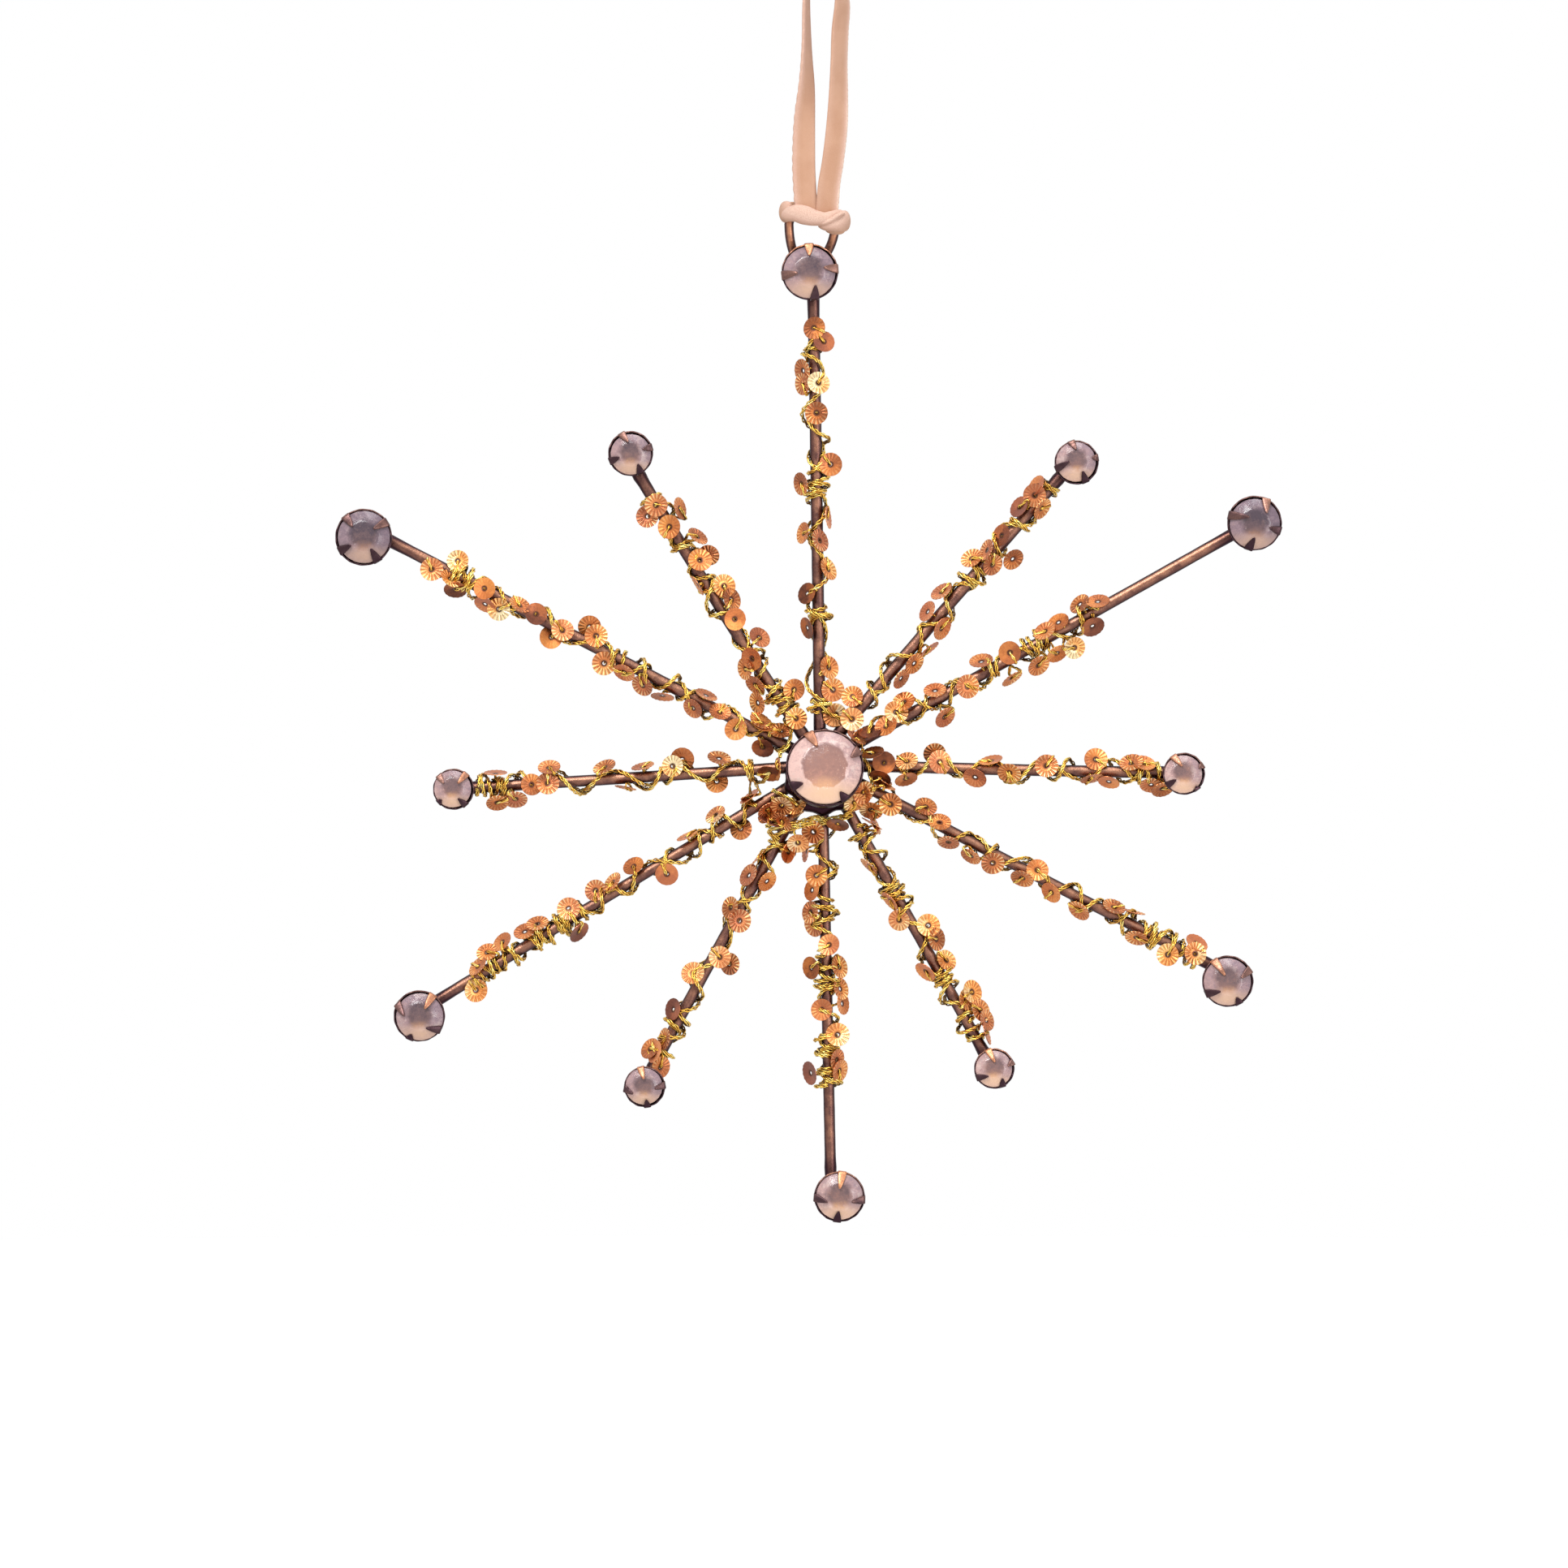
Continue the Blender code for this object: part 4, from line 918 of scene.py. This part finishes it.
def sequinShape():
    # One fluted disc with its hole, dished a little, as a thin closed wall
    bm = bmesh.new()
    bmesh.ops.create_circle(bm, segments=sequin["flutes"] * 2, radius=sequin["hole"])

    def ruffle(co):
        wave = math.cos(sequin["flutes"] * math.atan2(co.y, co.x))
        rise = Vector((0, 0, sequin["dish"] + sequin["ruffle"] * wave / 2))
        return co.normalized() * sequin["radius"] * (1 + sequin["edgeWave"] * wave) + rise

    growRing(bm, bm.edges[:], ruffle)
    faceOut(bm)
    bmesh.ops.solidify(bm, geom=bm.faces[:], thickness=sequin["thickness"])
    faceOut(bm)
    disc = bm.verts.layers.float_vector.new("disc")
    for vert in bm.verts:
        vert[disc] = (vert.co.x / sequin["radius"], vert.co.y / sequin["radius"], 0)
    for name in ("tone", "plain", "pink"):
        bm.faces.layers.float.new(name)
    return meshFrom("sequin", bm)


def lie(outward, spot, chance):
    turn = Matrix.Rotation(chance.uniform(0, 6.28), 4, "Z")
    return Matrix.Translation(spot) @ outward.to_track_quat("Z", "Y").to_matrix().to_4x4() @ turn


def sequinPlace(ray, along, across, way):
    # Where a sequin sits against the thread round its rod, and how it is turned
    chance = ray.random
    side = 1 if across > 0 else -1
    axis = ray.axis(along)
    base = axis - ray.left * (axis - starMiddle).dot(ray.left)
    away = across - (axis - base).dot(ray.left)
    wound = rod["radius"] + scatter["standOff"]
    depth = math.sqrt(max(0.15, wound * wound - away * away)) + scatter["heave"] * chance.random()
    tip = math.radians(turnOut[way] + chance.uniform(-scatter["tip"], scatter["tip"]))
    lean = math.radians(chance.uniform(-scatter["lean"], scatter["lean"]))
    toFront = -1 if way == "b" else 1
    outward = front * toFront * math.cos(tip) + ray.left * side * math.sin(tip) + ray.out * math.sin(lean)
    return lie(outward.normalized(), base + ray.left * across + front * depth * toFront, chance)


def dropSequins(name, placed, chance, *replaces):
    bm = bmesh.new()
    for spot, tone in placed:
        faces, verts = len(bm.faces), len(bm.verts)
        bm.from_mesh(sequinMesh)
        bm.verts.ensure_lookup_table()
        bm.faces.ensure_lookup_table()
        size = chance.uniform(*scatter["size"])
        bmesh.ops.scale(bm, verts=bm.verts[verts:], vec=(size, size, size * chance.uniform(*scatter["dish"])))
        bmesh.ops.transform(bm, matrix=spot, verts=bm.verts[verts:])
        near = max(0, 1 - (spot.translation - starMiddle).length / scatter["brightWithin"])
        shade = tones[tone] + chance.uniform(-scatter["tone"], scatter["tone"]) + scatter["bright"] * near
        pink = chance.random() ** 2
        values = dict(tone=min(1, max(0, shade)), plain=flattened.get(tone, chance.random() ** 1.5), pink=pink)
        for key, value in values.items():
            layer = bm.faces.layers.float[key]
            for face in bm.faces[faces:]:
                face[layer] = value
    makePiece(name, bm, "star", sequinCopper, 60, *replaces)


def addGarland(ray):
    placed = []
    for token in sequins[ray.data["hour"]].split():
        along, across, marks = token.split(",")
        placed.append((sequinPlace(ray, float(along), float(across), marks[0]), marks[1:] or "c"))
    dropSequins(f"sequins_{ray.tag}", placed, ray.random, f"sequin_garland_{ray.tag}")
    addThread(ray, [spot for spot, tone in placed])


sequinMesh = sequinShape()
for ray in starRays:
    addGarland(ray)

# Round the centre: sequins (x, z, degrees turned from the front, towards which clock angle, and tone), and thread
# from ray to ray
hub = dict(depth=-1.95, threadDepth=-1.5, unevenness=0.2, chance=77)
hubSequins = (
    (4.2, 3.9, 68, 35, "c"), (6.5, 1.9, 62, 345, "m"), (7.5, -1.3, 50, 200, "d"), (8.0, -2.7, 80, 17, "c"),
    (5.1, -3.3, 40, 120, "p"), (4.0, -4.6, 45, 150, "l"), (1.8, -7.5, 60, 190, "d"), (-3.6, -10.1, 35, 180, "l"),
    (-5.8, -5.1, 40, 200, "g"), (-5.7, -7.2, 50, 220, "p"), (-7.6, -7.5, 78, 25, "d"), (-6.2, -0.2, 75, 270, "c"),
)
hubRuns = (
    ((-7.5, -8.4), (-5.7, -7.9), (-4.1, -7.5), (-2.4, -7.0), (-1.1, -6.6), (0.15, -6.9), (1.3, -6.7), (2.7, -6.4),
     (3.5, -5.9), (4.3, -4.9), (4.8, -3.8), (5.2, -2.9)),
    ((-6.8, -9.2), (-5.2, -8.6), (-3.6, -8.1), (-1.9, -7.6), (-0.4, -7.5), (1.1, -7.4), (2.4, -7.2)),
    ((2.6, -5.6), (3.6, -4.9), (4.6, -4.6), (5.6, -3.6), (6.1, -2.6)),
    ((-8.0, -7.9), (-6.2, -7.6), (-4.4, -7.9), (-2.8, -7.5), (-1.0, -7.0), (1.0, -7.2), (2.6, -6.9), (3.9, -6.3)),
    ((5.1, 2.6), (5.3, 1.3), (5.9, 0.2), (6.1, -1.1), (6.4, -2.1), (6.5, -3.3)),
    ((-4.5, 5.2), (-4.7, 3.9), (-5.2, 2.6), (-6.0, 2.1), (-6.1, 1.2)),
    ((-7.1, -3.0), (-5.8, -3.7), (-4.4, -4.5), (-3.7, -5.1)),
    ((-1.8, 9.1), (-0.5, 8.4), (0.8, 7.3), (1.8, 6.8), (3.8, 6.5)),
    ((-2.4, 7.8), (-1.1, 8.4), (1.0, 8.7)),
)


def addHub():
    chance = random.Random(hub["chance"])
    placed = []
    for x, z, tip, towards, tone in hubSequins:
        tip, towards = math.radians(tip), math.radians(towards)
        outward = front * math.cos(tip) + Vector((math.sin(towards), 0, math.cos(towards))) * math.sin(tip)
        placed.append((lie(outward, starPoint(x, z, hub["depth"]), chance), tone))
    dropSequins("sequins_hub", placed, chance)
    paths, laid = [], []
    for run in hubRuns:
        uneven = hub["unevenness"]
        line = through([starPoint(x, z, hub["threadDepth"] + chance.uniform(-uneven, uneven)) for x, z in run], 8)
        laid += line
        paths += strandPaths(line, chance)
    for spot, tone in placed:
        middle, normal = spot.translation, normalOf(spot)
        land = min(laid, key=lambda point: (point - middle).length)
        over = middle + (land - middle).normalized() * sequin["radius"] * 0.6 + normal * 0.3
        line = through([middle - normal * 0.4, middle + normal * 0.2, over, land], 6)
        paths += strandPaths(line, chance, stitches["strands"], stitches["spread"])
    bm = tubeShape(paths, thread["radius"], 0)
    markShade(bm, lambda co: front)
    makePiece("thread_hub", bm, "star", goldThread, 180)


addHub()
print("sequins and thread strung")


# Bail: a loop of wire whose legs draw in and stand behind the top setting
bail = dict(wire=0.635, loop=3.15, shoulder=80, steps=12, kneeBelow=1.75, footSpread=2.1, footRise=2.5, legSteps=8)


def bailLeg(shoulder, side):
    # From the loop's shoulder back and in to the foot
    height = place["pivotHeight"] - bail["loop"] - bail["kneeBelow"]
    knee = Vector((place["pivotX"] + side * bail["loop"], 0, height))
    stone = starRays[0].stone
    foot = starPoint(stone.x + side * bail["footSpread"], stone.z + bail["footRise"])
    shares = [step / bail["legSteps"] for step in range(1, bail["legSteps"] + 1)]
    return [shoulder * (1 - t) ** 2 + knee * 2 * t * (1 - t) + foot * t**2 for t in shares]


def addBail():
    top = pivotPoint(place["pivotX"])
    loop = []
    for step in range(bail["steps"] + 1):
        swing = math.radians(bail["shoulder"] * (2 * step / bail["steps"] - 1))
        loop.append(top + bail["loop"] * Vector((math.sin(swing), 0, math.cos(swing) - 1)))
    line = [*reversed(bailLeg(loop[0], -1)), *loop, *bailLeg(loop[-1], 1)]
    bm = tubeShape([[(point, 1) for point in through(line, 3)]], bail["wire"], 6)
    bm.normal_update()
    # Painted shade on the flanks, a painted highlight along the upper front, and a stronger painted highlight on the
    # bail
    for name, measure in dict(side=turned, streak=upperFrontHighlight, polish=lambda vert: 1).items():
        mark(bm.verts, name, measure)
    makePiece("bail_loop", bm, "star", rodCopper, 50, "bail")


addBail()

# Ribbon: each strand's middle and turn in mm from the bail's top, from behind the hitch to the knot
ribbon = dict(width=3.2, thickness=0.42, columns=8, step=0.24, picot=0.13, crown=0.1, joined=-1.0, apart=-34.9,
              paleFrom=0.38, paleOver=0.42, innerEdge=0.25, stationSteps=14)
ribbonStrands = dict(
    left=dict(picotPitch=1.4, edges=0.7, outer=-1, stations=(
        (-2.45, -1.75, -1.6, 2), (-2.6, -1.5, 0.4, 1), (-2.75, -1.3, 2.75, 0), (-2.85, -1.0, 5.8, 4),
        (-2.75, -0.6, 11.3, 24), (-2.45, -0.3, 16.3, 50), (-2.45, -0.1, 21.3, 68), (-2.5, 0.0, 27.2, 76),
        (-2.2, 0.0, 31.3, 84), (-1.4, 0.0, 34.8, 88), (-0.65, 0.0, 37.3, 90), (-0.5, 0.0, 39.3, 90),
    )),
    right=dict(picotPitch=0.7, edges=0.97, outer=1, stations=(
        (0.3, -1.65, -1.6, 8), (0.45, -1.6, 0.4, 12), (0.65, -1.4, 2.75, 14), (1.15, -1.0, 5.8, 18),
        (1.65, -0.6, 10.2, 22), (1.87, -0.3, 14.6, 35), (1.95, -0.1, 19.0, 45), (2.1, 0.0, 23.4, 45),
        (2.4, 0.0, 27.2, 52), (2.1, 0.0, 31.3, 74), (1.4, 0.0, 34.8, 86), (0.65, 0.0, 37.3, 90), (0.5, 0.0, 39.3, 90),
    )),
)


def ribbonSheet(middles, acrosses, width, picotPitch, edges, outer):
    # A flat ribbon as a sheet, with small pale loops along its outer edge
    half, count, last = width / 2, ribbon["columns"], len(middles) - 1
    rows = []
    for index, (middle, across) in enumerate(zip(middles, acrosses)):
        normal = across.cross(middles[min(index + 1, last)] - middles[max(index - 1, 0)]).normalized()
        loops = abs(math.sin(math.pi * index * ribbon["step"] / picotPitch))
        row = []
        for step in range(count + 1):
            side = 2 * step / count - 1
            reach = half - (ribbon["picot"] * (1 - loops) if side == outer else 0)
            row.append(middle + across * reach * side + normal * ribbon["crown"] * (1 - side * side))
        rows.append(row)
    bm = bmesh.new()
    loft(bm, rows)
    nearest = 0

    def pale(vert):
        nonlocal nearest
        window = range(max(0, nearest - 2), min(last + 1, nearest + 3))
        nearest = min(window, key=lambda index: (middles[index] - vert.co).length)
        side = (vert.co - middles[nearest]).dot(acrosses[nearest]) / half
        rim = min(1, max(0, (abs(side) - ribbon["paleFrom"]) / ribbon["paleOver"]))
        rim *= 1 if side * outer > 0 else ribbon["innerEdge"]
        return max(edges * rim, 0.5 * (1 - abs(acrosses[nearest].x)) ** 1.5)

    mark(bm.verts, "pale", pale)
    return bm


def ribbonLine(stations, foot):
    # The middles and the directions across, at even steps along the stations
    rough = through([Vector(station[:3]) + foot for station in stations], ribbon["stationSteps"])
    turns = through([Vector((station[3], 0, 0)) for station in stations], ribbon["stationSteps"])
    middles = resample(rough, ribbon["step"])
    acrosses = []
    for middle in middles:
        nearest = min(range(len(rough)), key=lambda index: (rough[index] - middle).length)
        turn = math.radians(turns[nearest].x)
        acrosses.append(Vector((math.cos(turn), math.sin(turn), 0)))
    return middles, acrosses


def addStrand(side):
    data = ribbonStrands[side]
    middles, acrosses = ribbonLine(data["stations"], pivotPoint(0))
    bm = ribbonSheet(middles, acrosses, ribbon["width"], data["picotPitch"], data["edges"], data["outer"])
    piece = makePiece(f"velvet_{side}", bm, None, peachVelvet, 60, f"ribbon_strand_{side}")
    thicken(piece, ribbon["thickness"], 0)
    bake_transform(piece, "hanger", "hitch", (0, 0, ribbon["joined"] * mm), (0, 0, ribbon["apart"] * mm))
    path = [middle * mm for middle in middles]
    length = sum((b - a).length for a, b in zip(path, path[1:]))


addStrand("left")
addStrand("right")
print("ribbon strands made")

# Hitch: the ribbon's bight, folded over in front of the strands, and the two wraps inside it that go round the bail,
# in row millimetres. Each roll's stations: x, y, z, then half its height and half its depth
hitch = dict(
    rolls=dict(
        band=((-5.7, -1.0, -39.4, 0.45, 0.5), (-5.0, -1.75, -39.25, 0.9, 0.75), (-3.9, -2.3, -39.05, 1.18, 0.85),
              (-2.7, -2.5, -39.32, 1.3, 0.88), (-1.4, -2.55, -39.68, 1.1, 0.85), (-0.1, -2.45, -39.75, 0.88, 0.8),
              (0.9, -2.25, -39.25, 0.55, 0.65), (1.8, -1.7, -38.85, 0.38, 0.5), (2.3, -1.0, -38.75, 0.3, 0.4)),
        leftLobe=((-4.3, -1.4, -38.75, 1.1, 0.6), (-5.0, -1.0, -38.7, 1.4, 0.8), (-5.35, -0.1, -38.7, 1.45, 0.85),
                  (-5.0, 0.9, -38.6, 1.35, 0.8), (-4.0, 1.4, -38.4, 1.2, 0.7), (-2.6, 1.5, -38.5, 1.0, 0.6)),
        rightLobe=((-0.9, -1.9, -40.8, 0.4, 0.5), (0.6, -2.2, -40.65, 0.85, 0.75), (1.7, -2.1, -40.35, 1.2, 0.85),
                   (2.5, -1.3, -40.0, 1.4, 0.85), (2.75, -0.1, -39.9, 1.4, 0.75), (2.2, 1.1, -39.6, 1.2, 0.7),
                   (1.0, 1.5, -39.1, 1.0, 0.6)),
        ridge=((-0.5, -2.75, -40.65, 0.22, 0.3), (0.8, -3.05, -40.1, 0.27, 0.34), (1.9, -2.9, -39.3, 0.27, 0.36),
               (2.7, -2.0, -38.95, 0.22, 0.3)),
        hem=((0.0, -1.0, -40.95, 0.45, 0.5), (1.0, -1.2, -41.2, 0.58, 0.6), (2.0, -1.0, -41.25, 0.58, 0.6),
             (2.8, -0.6, -41.0, 0.4, 0.45)),
    ),
    sides=24, voxel=0.085, smooth=3,
    wraps=(-2.9, -0.4), wrapWidth=1.25, wrapLoop=1.15, wrapTurn=(-150, 290), wrapSteps=24, wrapColumns=6, wrapPale=0.3,
)


def roll(bm, stations):
    # A soft oval roll with round ends through its stations
    line = through([Vector(station[:3]) for station in stations], 6)
    sizes = through([Vector((*station[3:], 0)) for station in stations], 6)
    rows, last = [], len(line) - 1
    for index, (point, size) in enumerate(zip(line, sizes)):
        forward = (line[min(index + 1, last)] - line[max(index - 1, 0)]).normalized()
        side = forward.cross(Vector((0, 0, 1))).normalized()
        lift = side.cross(forward)
        near = min(index, last - index) / 4
        close = math.sqrt(max(0.02, 1 - max(0, 1 - near) ** 2))
        swings = [2 * math.pi * part / hitch["sides"] for part in range(hitch["sides"])]
        rows.append([
            point + (side * size.y * math.cos(swing) + lift * size.x * math.sin(swing)) * close for swing in swings
        ])
    first = len(bm.verts)
    loft(bm, rows, closed=True)
    bm.verts.ensure_lookup_table()
    bmesh.ops.holes_fill(bm, edges=[edge for edge in bm.edges if edge.is_boundary], sides=0)
    faceOut(bm, list({face for vert in bm.verts[first:] for face in vert.link_faces}))


def melted(lines, voxel, rounds):
    # Rolls along lines of stations that touch, as one soft form with creases between them
    bm = bmesh.new()
    for stations in lines:
        roll(bm, stations)
    rolls = show("rolls", meshFrom("rolls", bm))
    joined = rolls.modifiers.new("joined", "REMESH")
    joined.mode = "VOXEL"
    joined.voxel_size = voxel
    eased = rolls.modifiers.new("eased", "SMOOTH")
    eased.factor = 0.5
    eased.iterations = rounds
    return formOf(rolls)


def addHitch():
    bm = melted(hitch["rolls"].values(), hitch["voxel"], hitch["smooth"])
    bm.normal_update()
    # pale rises towards the front; as painted light it is higher on tops that face up and lower on undersides
    mark(bm.verts, "pale", lambda vert: min(0.84, max(0, 0.3 - 0.35 * (vert.co.y + 1.2) + 0.5 * vert.normal.z)))
    makePiece("velvet_hitch", bm, "hitch", peachVelvet, 180, "ribbon_hitch")
    start, sweep = hitch["wrapTurn"]
    for number, x in enumerate(hitch["wraps"]):
        rows = []
        for step in range(hitch["wrapSteps"] + 1):
            swing = math.radians(start + sweep * step / hitch["wrapSteps"])
            middle = pivotPoint(x) + hitch["wrapLoop"] * Vector((0, -math.cos(swing), -math.sin(swing) - 0.1))
            sides = [2 * part / hitch["wrapColumns"] - 1 for part in range(hitch["wrapColumns"] + 1)]
            rows.append([middle + Vector((hitch["wrapWidth"] * side, 0, 0)) for side in sides])
        bm = bmesh.new()
        loft(bm, rows)
        faceOut(bm)
        mark(bm.verts, "pale", lambda vert: hitch["wrapPale"])
        piece = makePiece(f"velvet_wrap_{number + 1}", bm, "hitch", peachVelvet, 180, "ribbon_hitch")
        thicken(piece, ribbon["thickness"], 0)


# Knot: an overhand knot of both strands, above the view, with its two tails
knot = dict(
    turns=((-1.7, -0.6, 0.6, 0.9, 0.6), (-0.8, -1.7, 1.5, 0.9, 0.6), (0.9, -1.7, 2.5, 0.9, 0.6),
           (1.9, -0.2, 2.9, 0.9, 0.6), (1.0, 1.6, 2.4, 0.9, 0.6), (-0.9, 1.6, 1.8, 0.9, 0.6),
           (-1.9, 0.3, 2.6, 0.9, 0.6), (-1.0, -1.3, 3.6, 0.8, 0.55), (0.8, -1.0, 4.0, 0.75, 0.5),
           (1.2, 0.6, 3.4, 0.7, 0.5)),
    tails=(((-0.5, 0.2, 2.4, 80), (-1.0, 0.2, 4.4, 65), (-1.9, 0.1, 6.8, 50), (-2.4, 0, 9.6, 40)),
           ((0.5, -0.2, 2.4, 100), (1.0, -0.2, 4.4, 115), (1.9, -0.1, 6.8, 125), (2.4, 0, 9.6, 135))),
    voxel=0.14, smooth=2, pale=0.3, tailWidth=0.95, tailPicot=0.7, tailEdges=0.8,
)


def addKnot():
    bm = melted([knot["turns"]], knot["voxel"], knot["smooth"])
    mark(bm.verts, "pale", lambda vert: knot["pale"])
    makePiece("velvet_knot", bm, "hanger", peachVelvet, 180, "ribbon_knot")
    for number, stations in enumerate(knot["tails"]):
        middles, acrosses = ribbonLine(stations, Vector((0, 0, 0)))
        width = ribbon["width"] * knot["tailWidth"]
        bm = ribbonSheet(middles, acrosses, width, knot["tailPicot"], knot["tailEdges"], 1)
        piece = makePiece(f"velvet_tail_{number + 1}", bm, "hanger", peachVelvet, 60, "ribbon_knot")
        thicken(piece, ribbon["thickness"], 0)


addHitch()
addKnot()
print("hitch and knot made")


# Stage, light and background. Each lamp: place in metres, width and power
stage = dict(floorHeight=-330, floorRadius=2500, floorColour=(0.93, 0.93, 0.93), floorGlow=0.5, worldLight=0.5)
lamps = dict(key=((-0.25, -0.55, 0.5), 0.32, 4.4), fill=((0.6, -0.6, -0.1), 0.4, 1.8), top=((0.1, -0.1, 0.6), 0.4, 1.6))


def addWorld():
    # A white background that lights the object less than it shows
    world = bpy.data.worlds.new("studio")
    world.use_nodes = True
    sky = Graph(world.node_tree)
    background = world.node_tree.nodes["Background"]
    background.inputs["Color"].default_value = (1, 1, 1, 1)
    seen = sky.node("LightPath", output="Is Camera Ray")
    for kind in ("Is Glossy Ray", "Is Transmission Ray"):
        seen = sky.math("MAXIMUM", seen, sky.node("LightPath", output=kind))
    level = sky.node("MapRange", inputs={"Value": seen, "To Min": stage["worldLight"], "To Max": 1.0})
    sky.feed(background.inputs["Strength"], level)
    bpy.context.scene.world = world


def addFloor():
    floor = Finish("paleFloor", Roughness=0.9, Emission_Color=(1, 1, 1, 1))
    glow = floor.node("LightPath", output="Is Camera Ray") * stage["floorGlow"]
    floor.finish(stage["floorColour"], Emission_Strength=glow)
    bm = bmesh.new()
    bmesh.ops.create_circle(bm, cap_ends=True, segments=96, radius=stage["floorRadius"] * mm)
    bmesh.ops.translate(bm, verts=bm.verts, vec=(0, 0, stage["floorHeight"] * mm))
    mesh = meshFrom("floor", bm)
    mesh.materials.append(floor.material)
    show("floor", mesh)


def addLamp(name, spot, size, power):
    data = bpy.data.lights.new(name, "AREA")
    data.shape = "DISK"
    data.size = size
    data.energy = power
    lamp = show(name, data)
    lamp.location = spot
    lamp.rotation_euler = (starMiddle * mm - Vector(spot)).to_track_quat("-Z", "Y").to_euler()


addWorld()
addFloor()
for name, (spot, size, power) in lamps.items():
    addLamp(name, spot, size, power)
bpy.context.scene.view_settings.view_transform = "Standard"
print("stage and light set")
